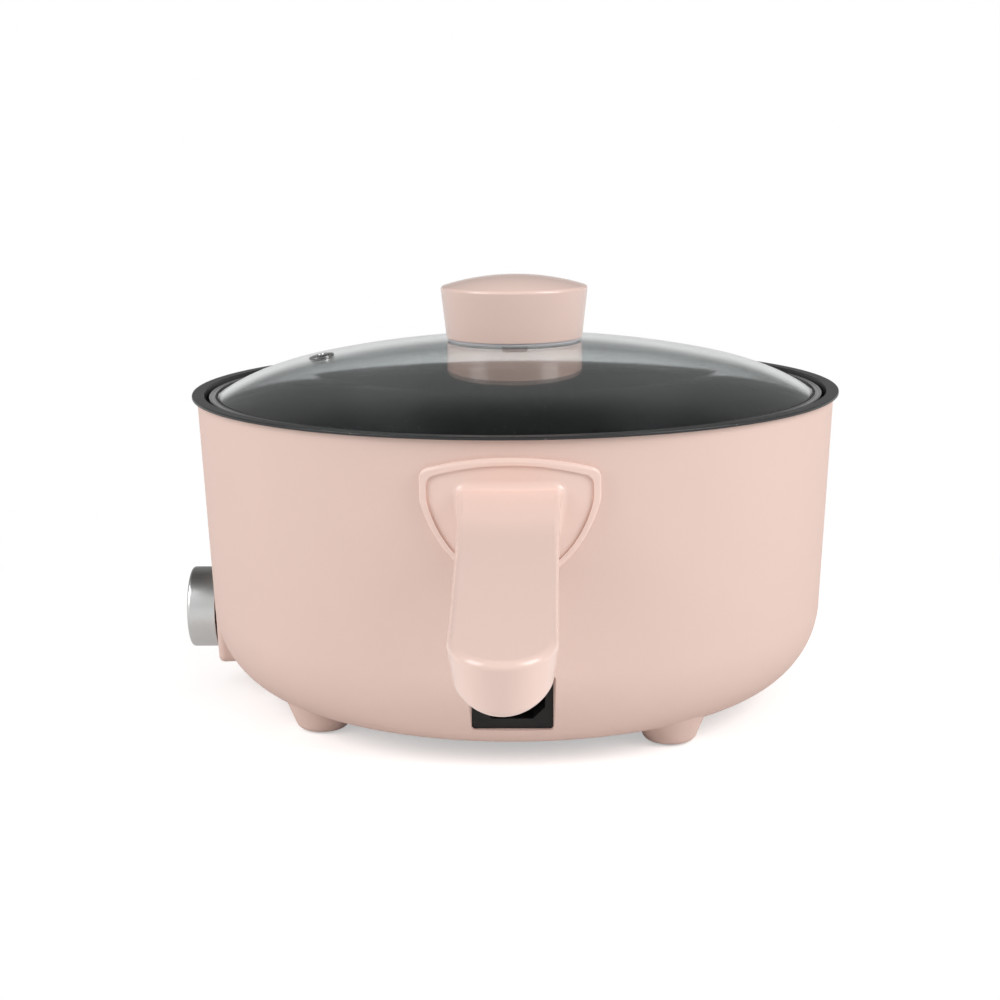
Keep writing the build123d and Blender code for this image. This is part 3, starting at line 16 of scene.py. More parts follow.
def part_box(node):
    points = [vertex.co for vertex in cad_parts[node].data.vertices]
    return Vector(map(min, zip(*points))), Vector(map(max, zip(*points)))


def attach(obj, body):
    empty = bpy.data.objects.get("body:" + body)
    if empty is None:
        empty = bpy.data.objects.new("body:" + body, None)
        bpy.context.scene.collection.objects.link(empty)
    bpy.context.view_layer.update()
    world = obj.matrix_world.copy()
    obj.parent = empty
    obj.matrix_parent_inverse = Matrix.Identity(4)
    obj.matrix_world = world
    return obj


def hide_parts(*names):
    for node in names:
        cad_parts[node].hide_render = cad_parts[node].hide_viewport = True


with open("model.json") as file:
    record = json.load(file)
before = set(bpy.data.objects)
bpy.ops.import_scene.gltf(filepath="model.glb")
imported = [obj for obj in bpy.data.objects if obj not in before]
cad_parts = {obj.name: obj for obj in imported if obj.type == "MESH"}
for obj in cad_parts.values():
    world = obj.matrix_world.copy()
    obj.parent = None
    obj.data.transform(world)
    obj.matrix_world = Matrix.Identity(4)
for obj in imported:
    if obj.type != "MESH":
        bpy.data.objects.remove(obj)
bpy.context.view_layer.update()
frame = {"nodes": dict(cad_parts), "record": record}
nodes = frame["nodes"]

# %% [markdown]
# ## Camera
# A photograph of a round pan can be measured: the rim is an ellipse, and its width, its height and
# its place in the picture give the camera's distance, height and tilt. Here the place is written in
# rim radii from the middle of the rim, because that is how it was measured, and the angles say how
# far the camera looks aside, down and askew.

# %% Camera at the photograph's place
MM = 0.001
rim_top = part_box("pot")[1].z
rim_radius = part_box("pot")[1].x
camera_in_radii = Vector((0.0926, -6.0, 0.8246))
aside, downward, askew = -0.0237, 0.1958, -0.0092
focal_pixels = 1930.84
picture_pixels = 1000
sensor_width = 36.0

flat = math.cos(downward)
look = Vector((math.sin(aside) * flat, math.cos(aside) * flat, -math.sin(downward)))
level = Vector((math.cos(aside), -math.sin(aside), 0))
lift = level.cross(look)
right = level * math.cos(askew) + lift * math.sin(askew)
upright = lift * math.cos(askew) - level * math.sin(askew)

lens = bpy.data.cameras.new("camera")
lens.sensor_width = sensor_width
lens.lens = sensor_width * focal_pixels / picture_pixels
camera = bpy.data.objects.new("camera", lens)
bpy.context.scene.collection.objects.link(camera)
turn = Matrix((right, upright, -look)).transposed().to_4x4()
eye = camera_in_radii * rim_radius + Vector((0, 0, rim_top))
camera.matrix_world = Matrix.Translation(eye) @ turn
bpy.context.scene.camera = camera
bpy.context.scene.view_settings.view_transform = "Standard"
print("camera at", [round(x, 4) for x in camera.location], "lens", round(lens.lens, 2))

# %% [markdown]
# ## Shader arithmetic
# A finish is a small network of nodes. Wiring it by hand hides the idea, so one class wraps a
# socket and lets plain arithmetic add the Math nodes. A second class holds a material and adds any
# other node in one call: first the node's settings, then the values or links of its sockets.


# %% A socket that understands arithmetic
def plug(tree, term, socket):
    """Give a socket a link or a plain value."""
    if isinstance(term, Flow):
        tree.links.new(term.socket, socket)
    else:
        socket.default_value = term


class Flow:
    """What flows out of a socket. Arithmetic on it adds Math nodes."""

    def __init__(self, tree, socket):
        self.tree = tree
        self.socket = socket

    def maths(self, operation, first, second):
        node = self.tree.nodes.new("ShaderNodeMath")
        node.operation = operation
        plug(self.tree, first, node.inputs[0])
        plug(self.tree, second, node.inputs[1])
        return Flow(self.tree, node.outputs[0])

    def __add__(self, other):
        return self.maths("ADD", self, other)

    __radd__ = __add__

    def __sub__(self, other):
        return self.maths("SUBTRACT", self, other)

    def __rsub__(self, other):
        return self.maths("SUBTRACT", other, self)

    def __mul__(self, other):
        return self.maths("MULTIPLY", self, other)

    __rmul__ = __mul__

    def __lt__(self, other):
        return self.maths("LESS_THAN", self, other)

    def also(self, output):
        """Another output of the same node."""
        return Flow(self.tree, self.socket.node.outputs[output])


class Recipe:
    """A node tree that grows node by node."""

    def __init__(self, tree):
        self.tree = tree
        tree.nodes.clear()

    def add(self, kind, settings=None, sockets=None, output=0):
        node = self.tree.nodes.new("ShaderNode" + kind)
        for name, value in (settings or {}).items():
            setattr(node, name, value)
        for name, value in (sockets or {}).items():
            plug(self.tree, value, node.inputs[name])
        return Flow(self.tree, node.outputs[output])

    def blend(self, factor, first, second):
        """Mix two colours, each of them three plain numbers or a link."""
        node = self.tree.nodes.new("ShaderNodeMix")
        node.data_type = "RGBA"
        plug(self.tree, factor, node.inputs[0])
        for socket, colour in ((node.inputs[6], first), (node.inputs[7], second)):
            plug(self.tree, colour if isinstance(colour, Flow) else (*colour, 1), socket)
        return Flow(self.tree, node.outputs[2])


class Finish(Recipe):
    """A material with one Principled surface."""

    def __init__(self, name):
        self.material = bpy.data.materials.new(name)
        self.material.use_nodes = True
        super().__init__(self.material.node_tree)
        self.place = self.add("TexCoord", output="Object")

    def noise(self, size, detail=2.0, place=None):
        """Soft noise whose spots are about a size across, in millimetres."""
        sockets = {"Vector": place or self.place, "Scale": 1 / (size * MM), "Detail": detail}
        return self.add("TexNoise", sockets=sockets)

    def relief(self, height, depth):
        """A bump whose full height is a depth in millimetres."""
        sockets = {"Height": height, "Strength": 1.0, "Distance": depth * MM}
        return self.add("Bump", sockets=sockets, output="Normal")

    def surface(self, **sockets):
        """Close the recipe with a Principled surface. Underscores in a name stand for spaces."""
        named = {name.replace("_", " "): value for name, value in sockets.items()}
        shader = self.add("BsdfPrincipled", sockets=named)
        self.finish(shader)
        return self

    def finish(self, shader):
        output = self.tree.nodes.new("ShaderNodeOutputMaterial")
        self.tree.links.new(shader.socket, output.inputs["Surface"])


# %% [markdown]
# ## World
# A catalogue picture is white all round, yet the pan must not glow. The Light Path node tells the
# rays apart. A ray straight from the camera meets plain white. A ray that glass lets through meets
# that white only near the horizon, and a mirrored ray meets it a little weaker, because a studio is
# dim above its backdrop and brighter behind the camera. The light that falls on the pan has its
# own, lower level. A ray that glass bends counts as mirrored and as let through at once, so the
# first is reduced by the second.


# %% Kinds of ray
def kinds_of_ray(recipe):
    """Masks for rays from the camera, rays let through by glass and mirrored rays."""
    seen = recipe.add("LightPath", output="Is Camera Ray")
    through = seen.also("Is Transmission Ray")
    mirrored = {0: seen.also("Is Glossy Ray") - through, 1: 0.0}
    return seen, through, recipe.add("Math", {"operation": "MAXIMUM"}, mirrored)


# %% World
world = bpy.data.worlds.new("studio")
world.use_nodes = True
bpy.context.scene.world = world
air = Recipe(world.node_tree)
ambient_level = 0.42
mirrored_level, room_level, ceiling_level, front_level = 0.75, 0.2, 0.06, 0.4
seen, through, glossy = kinds_of_ray(air)
other = 1 - seen - through - glossy
direction = air.add("TexCoord", output="Generated")
upward = air.add("SeparateXYZ", sockets={"Vector": direction}, output="Z")


def fade(tree, value, start, end, low, high):
    """A soft step from one level to another while a value goes from start to end."""
    sockets = {"Value": value, "From Min": start, "From Max": end, "To Min": low, "To Max": high}
    return tree.add("MapRange", {"interpolation_type": "SMOOTHSTEP"}, sockets)


backdrop = fade(air, upward, 0.05, 0.2, 1.0, 0.0)
below_ceiling = fade(air, upward, 0.5, 0.85, 1.0, 0.0)
front = fade(air, upward.also("Y"), -0.4, 0.2, front_level, 0.0) * below_ceiling
room = (1 - backdrop) * (fade(air, upward, 0.55, 0.85, room_level, ceiling_level) + front)
sent_on = through * (backdrop + room) + glossy * (backdrop * mirrored_level + room)
strength = seen + sent_on + other * ambient_level
background = air.add("Background", sockets={"Color": (1, 1, 1, 1), "Strength": strength})
out = air.tree.nodes.new("ShaderNodeOutputWorld")
air.tree.links.new(background.socket, out.inputs["Surface"])

# %% [markdown]
# ## Floor
# Near the pan the floor is a pale surface that takes the pan's shadow, and farther out it fades to
# the same white as the world. A flat white card with the shadow painted on it would be simpler, but
# this floor's shadow follows the pan's real shape.

# %% Floor
bpy.ops.object.select_all(action="DESELECT")
bpy.ops.mesh.primitive_plane_add(size=14)
floor = bpy.context.object
floor.name = "floor"
floor_white = Finish("pale floor")
seen, through, glossy = kinds_of_ray(floor_white)
distance = floor_white.add("VectorMath", {"operation": "LENGTH"}, {0: floor_white.place}, "Value")
near_floor, far_floor = 0.17, 0.36
floor_grey, top_up_level = 0.82, 0.45
far = fade(floor_white, distance, near_floor, far_floor, 0.0, 1.0)
matt = floor_white.add("BsdfDiffuse", sockets={"Color": (floor_grey, floor_grey, floor_grey, 1)})
top_up = floor_white.add("Emission", sockets={"Strength": seen * top_up_level})
lit = floor_white.add("AddShader", sockets={0: matt, 1: top_up})
white = floor_white.add("Emission", sockets={"Strength": seen + through + glossy * mirrored_level})
mixed = floor_white.add("MixShader", sockets={0: (seen + through + glossy) * far, 1: lit, 2: white})
floor_white.finish(mixed)
floor.data.materials.append(floor_white.material)

# %% [markdown]
# ## Lamps
# The highlights in the photograph tell where its lamps stood: the knob and the end of the handle
# have one soft streak on each side and none in the middle, and the front of the glass, which
# mirrors the ceiling, is dark. So there are two tall soft boxes, one to each side of the camera,
# and no lamp overhead.

# %% Two soft boxes
lamp_turn, lamp_distance, lamp_height = 62, 1.7, 1.1
lamp_width, lamp_tallness = 1.1, 1.3
lamp_target = Vector((0, 0, 0.08))
for side, name, energy in ((-1, "left", 20.0), (1, "right", 24.0)):
    light = bpy.data.lights.new(name + " soft box", "AREA")
    light.shape = "RECTANGLE"
    light.size, light.size_y = lamp_width, lamp_tallness
    light.energy = energy
    lamp = bpy.data.objects.new(light.name, light)
    bpy.context.scene.collection.objects.link(lamp)
    around = math.radians(lamp_turn)
    aside_reach, front_reach = lamp_distance * math.sin(around), lamp_distance * math.cos(around)
    lamp.location = (side * aside_reach, -front_reach, lamp_height)
    lamp.rotation_euler = (lamp_target - lamp.location).to_track_quat("-Z", "Y").to_euler()
    print(light.name, [round(x, 2) for x in lamp.location])

# %% [markdown]
# ## Finishes of plastic
# Moulded plastic is never one flat colour. Its mould leaves a fine grain, its pigment is a little
# mottled, and its gloss varies a little. One recipe with a few numbers covers the matt shell, the
# glossier handle and knob, the black socket, the wires' jackets and the soft pieces.


# %% Moulded plastic
def moulded(name, colour, roughness, grain, depth, mottling=0.02, coat=0.0, sheen=0.5):
    """Plastic with a grain of a size and depth in millimetres."""
    cloud_size, cloud_share = 26, 0.6
    finish = Finish(name)
    cloud = finish.noise(cloud_size, 3)
    fine = finish.noise(grain, 3)
    dark = tuple(c * (1 - mottling) for c in colour)
    pale = tuple(min(1, c * (1 + mottling)) for c in colour)
    return finish.surface(
        Base_Color=finish.blend(cloud * cloud_share + fine * (1 - cloud_share), dark, pale),
        Roughness=(cloud - 0.5) * 0.04 + roughness,
        Normal=finish.relief(fine, depth),
        Coat_Weight=coat,
        Coat_Roughness=0.12,
        Specular_IOR_Level=sheen,
    )


body_plastic = moulded("matt shell plastic", (0.77, 0.575, 0.508), 0.66, 0.8, 0.035, sheen=0.3)
trim_plastic = moulded("semi-gloss trim plastic", (0.86, 0.64, 0.565), 0.24, 1.4, 0.006, 0.01, 0.3)
socket_black = (0.009, 0.0095, 0.0095)
black_plastic = moulded("black socket plastic", socket_black, 0.5, 0.6, 0.02, 0.1, sheen=0.35)
wire_brown = moulded("brown wire jacket", (0.13, 0.05, 0.02), 0.4, 1.5, 0.01)
wire_blue = moulded("blue wire jacket", (0.02, 0.09, 0.42), 0.4, 1.5, 0.01)
seat_silicone = moulded("pale grey silicone", (0.6, 0.58, 0.6), 0.6, 0.5, 0.02)
dark_rubber = moulded("dark rubber", (0.035, 0.036, 0.037), 0.6, 0.5, 0.02)
pointer_enamel = moulded("pale enamel", (0.62, 0.62, 0.6), 0.35, 0.5, 0.004)

# %% [markdown]
# An earth wire's jacket is green with a yellow stripe that winds round it, so that nobody takes it
# for another wire, even someone who can't tell red from green. The stripe is a mask made from the
# three coordinates: each counts with its own number of stripes to the metre.

# %% Earth wire
stripes_x, stripes_y, stripes_z = 400, 250, 700
yellow_share = 0.4
wire_earth = Finish("striped wire jacket")
place = wire_earth.add("SeparateXYZ", sockets={"Vector": wire_earth.place}, output="X")
slant = place * stripes_x + place.also("Z") * stripes_z + place.also("Y") * stripes_y
stripe = wire_earth.add("Math", {"operation": "FRACT"}, {0: slant}) < yellow_share
wire_earth.surface(
    Base_Color=wire_earth.blend(stripe, (0.04, 0.3, 0.05), (0.75, 0.6, 0.04)),
    Roughness=0.4,
    Normal=wire_earth.relief(wire_earth.noise(1.5), 0.01),
)

# %% [markdown]
# ## Finishes of metal
# Real metal shows how it was made. Rolled sheet has faint streaks, a blasted dial has a fine even
# grain, and cast aluminium is cloudy. The colour stays nearly the same everywhere, and the
# roughness and the relief tell the story.


# %% Metals
def metal(name, colour, roughness, grain, depth, streak=1.0):
    """Bare metal. A streak above one stretches its grain along Z, and one below squeezes it."""
    cloud_size, cloud_share = 14, 0.5
    finish = Finish(name)
    stretched = finish.add("Mapping", sockets={"Vector": finish.place, "Scale": (1, 1, 1 / streak)})
    fine = finish.noise(grain, 3, stretched)
    cloud = finish.noise(cloud_size, 2)
    dark = tuple(c * 0.93 for c in colour)
    return finish.surface(
        Base_Color=finish.blend(cloud * cloud_share + fine * (1 - cloud_share), dark, colour),
        Metallic=1.0,
        Roughness=(fine - 0.5) * 0.12 + roughness,
        Normal=finish.relief(fine, depth),
    )


band_steel = metal("polished lid steel", (0.5, 0.5, 0.49), 0.22, 1.2, 0.004, 0.3)
dial_metal = metal("blasted dial metal", (0.78, 0.79, 0.78), 0.3, 0.35, 0.02)
polished_steel = metal("polished eyelet steel", (0.8, 0.8, 0.79), 0.28, 1.0, 0.002)
plated_steel = metal("zinc-plated steel", (0.6, 0.61, 0.62), 0.3, 0.9, 0.008)
shield_steel = metal("bright sheet steel", (0.62, 0.63, 0.64), 0.26, 1.5, 0.006, 6)
brass = metal("plain brass", (0.72, 0.5, 0.2), 0.28, 0.8, 0.006)
blade_metal = metal("nickel-plated brass", (0.62, 0.58, 0.5), 0.25, 0.8, 0.004)
heater_plate_metal = metal("cast aluminium", (0.66, 0.67, 0.68), 0.5, 1.1, 0.05)
heater_sheath = metal("annealed heater sheath", (0.2, 0.19, 0.18), 0.5, 0.9, 0.02)

# %% [markdown]
# ## The pot's coating
# A non-stick coating is sprayed on: it is nearly black, it has a fine orange-peel relief, and small
# paler specks lie in it. The specks are the middles of Voronoi cells, of which only some are kept,
# so they look scattered and not laid out in rows.

# %% Non-stick coating
coating = Finish("black non-stick coating")
cell_size, speck_reach, kept_share = 2.4, 0.13, 0.4
sockets = {"Vector": coating.place, "Scale": 1 / (cell_size * MM), "Randomness": 1.0}
cells = coating.add("TexVoronoi", sockets=sockets)
draw = coating.add("SeparateColor", sockets={"Color": cells.also("Color")}, output="Red")
kept = draw < kept_share
speck = (cells < speck_reach) * kept
peel = coating.noise(0.9, 2)
pot_coating = coating.surface(
    Base_Color=coating.blend(speck, (0.02, 0.021, 0.0215), (0.11, 0.11, 0.11)),
    Roughness=(peel - 0.5) * 0.15 + 0.36,
    Normal=coating.relief(peel, 0.012),
)

# %% [markdown]
# ## Glass
# The lid is toughened glass four millimetres thick. It is modelled with both of its faces, so the
# light bends into it and out of it and is mirrored on both, as in real glass. A faint tint in the
# colour stands for what such glass swallows.

# %% Glass
glass = Finish("toughened lid glass")
smear = glass.noise(35, 3)
lid_glass = glass.surface(
    Base_Color=(0.95, 0.985, 0.985, 1),
    Roughness=smear * 0.02 + 0.01,
    IOR=1.5,
    Transmission_Weight=1.0,
)

# %% [markdown]
# ## Ceramic
# The heater's end seals and the bodies of the thermostat and the fuse are fired clay: matt, off
# white and a little pitted.

# %% Ceramic
clay = Finish("fired ceramic")
pits = clay.noise(0.7, 4)
ceramic = clay.surface(
    Base_Color=clay.blend(pits, (0.62, 0.6, 0.54), (0.74, 0.72, 0.66)),
    Roughness=pits * 0.1 + 0.62,
    Normal=clay.relief(pits, 0.03),
)

# %% [markdown]
# ## Dressing the solids
# Each solid already names the slot that its maker gave it, so one table of slots dresses them all.
# The blades of the inlet are nickel-plated, so they get their own finish after that. Only the
# material in the slot changes: the shape of a solid is never touched here.

# %% Every solid gets its finish
finish_of_slot = {
    "body_plastic": body_plastic,
    "trim_plastic": trim_plastic,
    "pot_coating": pot_coating,
    "lid_glass": lid_glass,
    "band_steel": band_steel,
    "dial_metal": dial_metal,
    "black_plastic": black_plastic,
    "plated_steel": plated_steel,
    "shield_steel": shield_steel,
    "brass": brass,
    "heater_plate_metal": heater_plate_metal,
    "heater_sheath": heater_sheath,
    "ceramic": ceramic,
    "silicone": seat_silicone,
    "wire_brown": wire_brown,
    "wire_blue": wire_blue,
    "wire_green": wire_earth,
}
for entry in frame["record"]["subparts"]:
    solid = nodes[entry["node"]]
    solid.material_slots[0].material = finish_of_slot[entry["material_slot"]].material
nodes["inlet_pins"].material_slots[0].material = blade_metal.material
print("finishes:", len(finish_of_slot) + 1)

# %% [markdown]
# ## Turned pieces
# The hoop of the lid, its gasket, its glass, the vent, the dial, the pads and the screws are all
# round. A lathe would turn them from a section. Here a circle takes the section's first radius, and
# edit mode pulls it out ring by ring: extrude to the next height, then scale to the next radius. A
# Screw modifier or the Spin tool gives the same shape, but this way each ring can be followed.
# Every piece ends at the origin with its place in its mesh, so that patterns in object coordinates
# stay where they belong.


# %% Turning, placing, copying and cutting
smooth_angle = math.radians(35)
fine_segments = 192
weld = 0.002


def turned(name, section, segments=64, hollow=False):
    """Turn a section of radii and heights in millimetres. A hollow one closes on itself."""
    bpy.ops.object.select_all(action="DESELECT")
    radius, level = section[0]
    fill = "NOTHING" if hollow else "NGON"
    bpy.ops.mesh.primitive_circle_add(
        vertices=segments, radius=radius * MM, fill_type=fill, location=(0, 0, level * MM)
    )
    piece = bpy.context.object
    piece.name = name
    bpy.ops.object.mode_set(mode="EDIT")
    for next_radius, next_level in section[1:] + (section[:1] if hollow else []):
        rise = (0, 0, (next_level - level) * MM)
        bpy.ops.mesh.extrude_region_move(TRANSFORM_OT_translate={"value": rise})
        growth = next_radius / radius
        bpy.ops.transform.resize(value=(growth, growth, 1), center_override=(0, 0, next_level * MM))
        radius, level = next_radius, next_level
    bpy.ops.mesh.select_all(action="SELECT")
    bpy.ops.mesh.remove_doubles(threshold=weld * MM)
    bpy.ops.mesh.normals_make_consistent(inside=False)
    bpy.ops.object.mode_set(mode="OBJECT")
    bpy.ops.object.transform_apply(location=True, rotation=True, scale=True)
    bpy.ops.object.shade_smooth_by_angle(angle=smooth_angle)
    print(name, "faces:", len(piece.data.polygons))
    return piece


def choose(piece):
    """Make a piece the only one that the next operator acts on."""
    bpy.ops.object.select_all(action="DESELECT")
    piece.select_set(True)
    bpy.context.view_layer.objects.active = piece


def stand(piece, turn, place):
    """Turn a piece, move it to its place and write both into its mesh."""
    choose(piece)
    piece.rotation_euler = turn
    piece.location = place
    bpy.ops.object.transform_apply(location=True, rotation=True, scale=True)
    return piece


def twin(piece, name):
    """A copy with a mesh of its own."""
    copy = piece.copy()
    copy.data = piece.data.copy()
    copy.name = name
    bpy.context.scene.collection.objects.link(copy)
    return copy


def cut(piece, cutter):
    """Cut a piece with another one, which is then thrown away."""
    choose(piece)
    knife = piece.modifiers.new("cut", "BOOLEAN")
    knife.object = cutter
    bpy.ops.object.modifier_apply(modifier=knife.name)
    bpy.data.objects.remove(cutter)


def dress(piece, body, slot, finish, *replaced):
    """Give a piece its finish, its body and the solids that it stands for. The slot is not used."""
    piece.data.materials.clear()
    piece.data.materials.append(finish.material)
    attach(piece, body)
    if replaced:
        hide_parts(*replaced)


# %% [markdown]
# ## Hoop and gasket of the lid
# A strip of steel is rolled to a channel and closed round the rim of the glass. It has no sharp
# corner anywhere, and a fine bead runs round its top. A bead of dark sealant fills the corner
# between the steel and the glass. Both are turned from a closed section.

# %% Hoop and gasket
hoop_low, hoop_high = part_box("lid_band")
hoop_radius = hoop_high.x / MM
hoop_foot = hoop_low.z / MM
hoop_section = [
    (0, 0.6), (0, 4.6), (-0.15, 4.95), (-0.5, 5.1), (-1.5, 5.1), (-1.75, 5.0), (-2.0, 5.1),
    (-2.6, 5.1), (-2.8, 4.95), (-2.8, 4.72), (-2.65, 4.6), (-0.7, 4.6), (-0.5, 4.4), (-0.5, 0.7),
    (-0.7, 0.5), (-5.4, 0.5), (-5.6, 0.4), (-5.6, 0.1), (-5.45, 0), (-0.6, 0), (-0.15, 0.15),
]
hoop = [(hoop_radius + r, hoop_foot + z) for r, z in hoop_section]
lid_hoop = turned("lid_hoop", hoop, fine_segments, True)
dress(lid_hoop, "lid", "band_steel", band_steel, "lid_band")

gasket_section = [
    (-2.7, 4.56), (-2.7, 5.0), (-2.9, 5.2), (-3.3, 5.28), (-3.7, 5.2), (-3.9, 4.98), (-3.8, 4.75),
    (-3.3, 4.6),
]
gasket = [(hoop_radius + r, hoop_foot + z) for r, z in gasket_section]
lid_gasket = turned("lid_gasket", gasket, fine_segments, True)
dress(lid_gasket, "lid", "silicone", dark_rubber)

# %% [markdown]
# ## Glass of the lid
# The dome is one sheet of glass: a wide shallow crown, a rounder shoulder and a flat rim that sits
# in the hoop. The solid's glass is made of facets that show through refraction, so it is turned
# again with many fine rings. The shoulder is the arc that leaves the crown without a kink and ends
# on the rim, and the inner face runs at the thickness of the glass below the outer one.

# %% Glass dome
glass_low, glass_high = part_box("lid_glass")
glass_foot, glass_rim = glass_low.z / MM, glass_high.x / MM
glass_thickness, crown_radius, hole_radius = 4.0, 435.0, 3.2
hoop_leg, shoulder_width = 2.8, 33.4
crown_rings, shoulder_rings = 28, 20
shoulder_end = Vector((hoop_radius - hoop_leg, glass_foot + glass_thickness))
shoulder_start_radius = shoulder_end.x - shoulder_width
crown_top = glass_high.z / MM + crown_radius - math.sqrt(crown_radius**2 - hole_radius**2)
crown_middle = Vector((0, crown_top - crown_radius))
crown_angle = math.asin(shoulder_start_radius / crown_radius)
towards_middle = -Vector((math.sin(crown_angle), math.cos(crown_angle)))
shoulder_start = crown_middle - towards_middle * crown_radius
step = shoulder_end - shoulder_start
shoulder_radius = step.length_squared / (2 * step.dot(towards_middle))
shoulder_middle = shoulder_start + towards_middle * shoulder_radius
shoulder_angle = math.asin((shoulder_end.x - shoulder_middle.x) / shoulder_radius)


def ring_points(middle, radius, start, end, count):
    """Points of an arc about a middle, with angles measured from straight up."""
    angles = [start + (end - start) * number / count for number in range(count + 1)]
    return [(middle.x + radius * math.sin(a), middle.y + radius * math.cos(a)) for a in angles]


def dome_points(depth):
    """Crown and shoulder at a depth below the outer face, from the hole to the rim."""
    start = math.asin(hole_radius / (crown_radius - depth))
    crown = ring_points(crown_middle, crown_radius - depth, start, crown_angle, crown_rings)
    radius = shoulder_radius - depth
    shoulder = ring_points(shoulder_middle, radius, crown_angle, shoulder_angle, shoulder_rings)
    return crown + shoulder[1:]


rim_points = [
    (glass_rim, shoulder_end.y), (glass_rim, glass_foot),
    (shoulder_end.x - glass_thickness * math.tan(shoulder_angle / 2), glass_foot),
]
dome = dome_points(0) + rim_points + dome_points(glass_thickness)[::-1]
glass_dome = turned("glass_dome", dome, fine_segments, True)
end_slope = round(math.degrees(shoulder_angle), 1)
print("shoulder radius", round(shoulder_radius, 1), "slope at its end", end_slope)

# %% [markdown]
# ## Steam vent
# The vent is an eyelet: a thin tube whose ends are rolled over the glass on both sides. It stands
# square to the dome, so it is turned upright about Z, tilted by the slope of the glass where it
# sits and then swung round to its azimuth.

# %% Steam vent
vent_reach, vent_azimuth = 0.080, math.radians(183)
vent_slope = math.asin(vent_reach / (crown_radius * MM))
vent_height = (crown_top - crown_radius * (1 - math.cos(vent_slope))) * MM
eyelet_section = [
    (1.6, 0.85), (1.75, 1.1), (2.1, 1.2), (3.0, 1.16), (4.2, 1.0), (5.0, 0.72), (5.3, 0.38),
    (5.25, 0.1), (5.1, 0.0), (2.62, -0.02), (2.6, -3.98), (4.1, -4.0), (4.2, -4.2), (4.15, -4.7),
    (3.8, -4.88), (2.2, -4.9), (1.7, -4.75), (1.6, -4.5),
]
vent = turned("vent_eyelet", eyelet_section, 48, True)
vent_place = (vent_reach * math.cos(vent_azimuth), vent_reach * math.sin(vent_azimuth), vent_height)
stand(vent, (0, vent_slope, vent_azimuth), vent_place)
dress(vent, "lid", "band_steel", polished_steel, "steam_vent")
drill_radius = 2.65
drill = turned("drill", [(drill_radius, -8), (drill_radius, 4)], 48)
cut(glass_dome, stand(drill, (0, vent_slope, vent_azimuth), vent_place))
dress(glass_dome, "lid", "lid_glass", lid_glass, "lid_glass")

# %% [markdown]
# ## Dial
# The dial is a cup of blasted metal. Its front edge is rounded, and its face is slightly dished. It
# is turned upright and then laid on its side, so that what was +X on the lathe is up, which is
# where the pointer starts. Its back reaches 0.4 millimetres behind the solid's, into the gap that
# lets it turn in front of the pod. The pointer is a bar of pale enamel let into the face.

# %% Dial and pointer
dial_low, dial_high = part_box("dial_cap")
dial_place = (dial_high.x, 0, (dial_low.z + dial_high.z) / 2)
lay_down = (0, -math.pi / 2, 0)
grip_section = [
    (1.5, 9.6), (15.2, 9.6), (15.2, -0.2), (15.4, -0.4), (16.8, -0.4), (17.0, -0.2), (17.0, 9.9),
    (16.9, 10.5), (16.55, 11.0), (16.0, 11.3), (15.3, 11.4), (14.7, 11.3), (14.0, 11.15),
    (8.0, 11.0), (1.5, 10.95),
]
dial_grip = stand(turned("dial_grip", grip_section, 96), lay_down, dial_place)
dress(dial_grip, "dial", "dial_metal", dial_metal, "dial_cap")


def block(name, size, middle, rounding=0.0):
    """A bar of a size and place in millimetres, with its edges rounded in edit mode."""
    bpy.ops.object.select_all(action="DESELECT")
    location, scale = [m * MM for m in middle], [s * MM for s in size]
    bpy.ops.mesh.primitive_cube_add(size=1, location=location, scale=scale)
    bar = bpy.context.object
    bar.name = name
    bpy.ops.object.transform_apply(location=True, rotation=True, scale=True)
    if rounding:
        bpy.ops.object.mode_set(mode="EDIT")
        bpy.ops.mesh.select_all(action="SELECT")
        bpy.ops.mesh.bevel(offset=rounding * MM, segments=3)
        bpy.ops.object.mode_set(mode="OBJECT")
        bpy.ops.object.shade_smooth_by_angle(angle=smooth_angle)
    return bar


pointer = block("dial_pointer", (6.4, 1.3, 0.5), (10.6, 0, 11.0), 0.18)
stand(pointer, lay_down, dial_place)
dress(pointer, "dial", "silicone", pointer_enamel)

# %% [markdown]
# ## Screws with a cross recess
# Under the pan, three screws close the base, and two hold the cover of the handle. Each is turned,
# and two crossed bars are then cut out of its head with a Boolean. One screw of each kind is made,
# and the others are copies with meshes of their own.


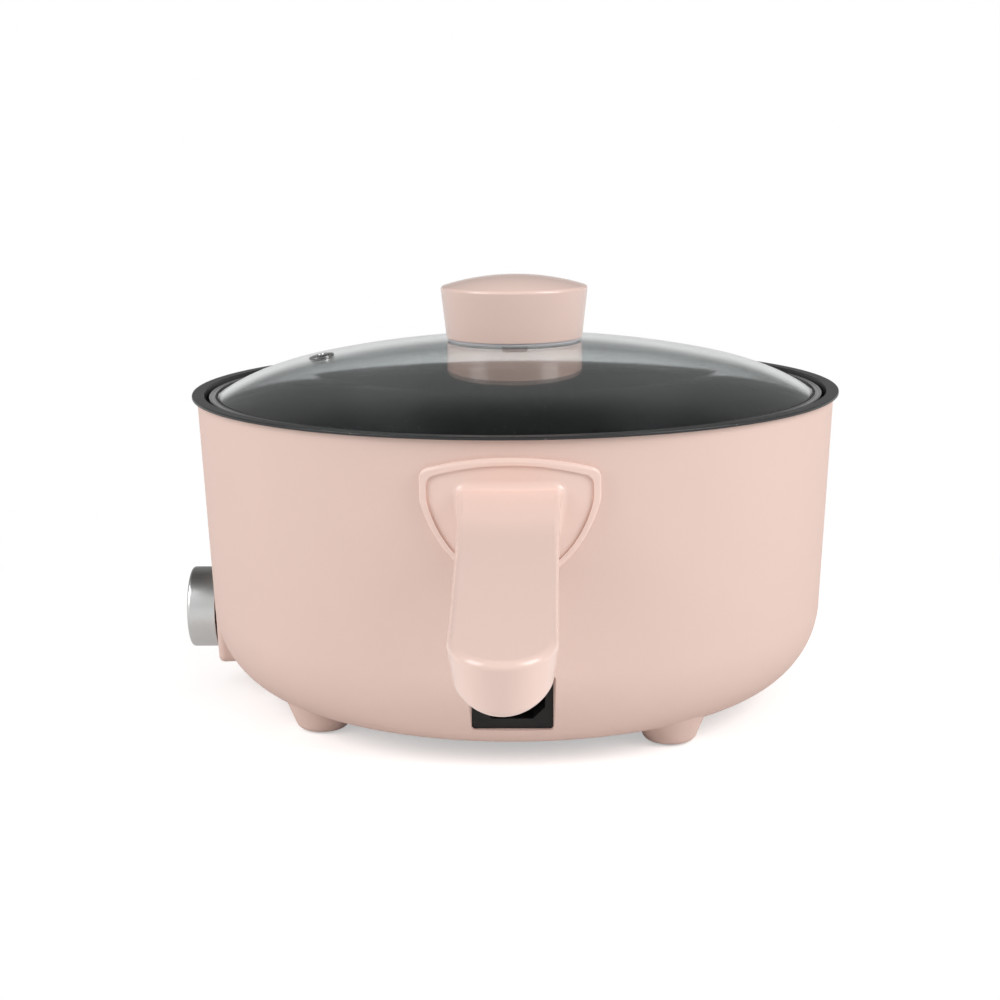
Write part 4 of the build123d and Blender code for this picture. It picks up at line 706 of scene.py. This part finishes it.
# %% Screws
def cross_screw(name, head, rise, shank, length):
    """A screw that stands on its head: the head's face is at zero and the shank points up."""
    section = [
        (0.6 * head, 0), (0.85 * head, 0.12 * rise), (0.96 * head, 0.4 * rise), (head, 0.7 * rise),
        (head, rise), (shank, rise), (shank, rise + length - 0.5), (shank - 0.5, rise + length),
    ]
    screw = turned(name, section, 40)
    for size in ((1.1 * head, 0.24 * head, rise), (0.24 * head, 1.1 * head, rise)):
        cut(screw, block("cutter", size, (0, 0, 0)))
    bpy.ops.object.shade_smooth_by_angle(angle=smooth_angle)
    return screw


base_screw_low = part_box("base_screws")[0].z
base_ring, base_first = 0.060, math.radians(90)
pattern = cross_screw("base_screw_1", 4.2, 2.6, 2.0, 14.0)
screws = [pattern] + [twin(pattern, f"base_screw_{number}") for number in (2, 3)]
for number, screw in enumerate(screws):
    azimuth = base_first + number * math.tau / 3
    place = (base_ring * math.cos(azimuth), base_ring * math.sin(azimuth), base_screw_low)
    stand(screw, (0, 0, azimuth), place)
    dress(screw, "pan", "plated_steel", plated_steel, "base_screws")

cover_low, cover_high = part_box("handle_cover_screws")
screw_head, screw_rise, screw_length = 2.8, 1.6, 9.0
pattern = cross_screw("handle_screw_1", screw_head, screw_rise, 1.5, screw_length)
near = twin(pattern, "handle_screw_2")
near_foot = cover_high.z - (screw_rise + screw_length) * MM
stand(pattern, (0, 0, 0.6), (0, cover_low.y + screw_head * MM, cover_low.z))
stand(near, (0, 0, 0.2), (0, cover_high.y - screw_head * MM, near_foot))
for screw in (pattern, near):
    dress(screw, "pan", "plated_steel", plated_steel, "handle_cover_screws")

# %% [markdown]
# ## Foot pads
# The soft pads are what the pan stands on. Round grooves in the sole let them grip a worktop. One
# pad is turned with its grooves in the section, and the other three are copies of it.

# %% Foot pads
pad_ring, pad_first = 0.0975, math.radians(38.25)
pad_section = [
    (1.0, 0.0), (1.5, 0.0), (1.75, 0.3), (2.35, 0.3), (2.6, 0.0), (3.3, 0.0), (3.55, 0.3),
    (4.15, 0.3), (4.4, 0.0), (5.9, 0.0), (6.3, 0.12), (6.5, 0.4), (6.5, 1.9), (6.4, 2.0),
]
pattern = turned("foot_pad_1", pad_section, 64)
pads = [pattern] + [twin(pattern, f"foot_pad_{number}") for number in (2, 3, 4)]
for number, pad in enumerate(pads):
    azimuth = pad_first + number * math.tau / 4
    stand(pad, (0, 0, azimuth), (pad_ring * math.cos(azimuth), pad_ring * math.sin(azimuth), 0))
    dress(pad, "pan", "silicone", dark_rubber, "foot_pads")
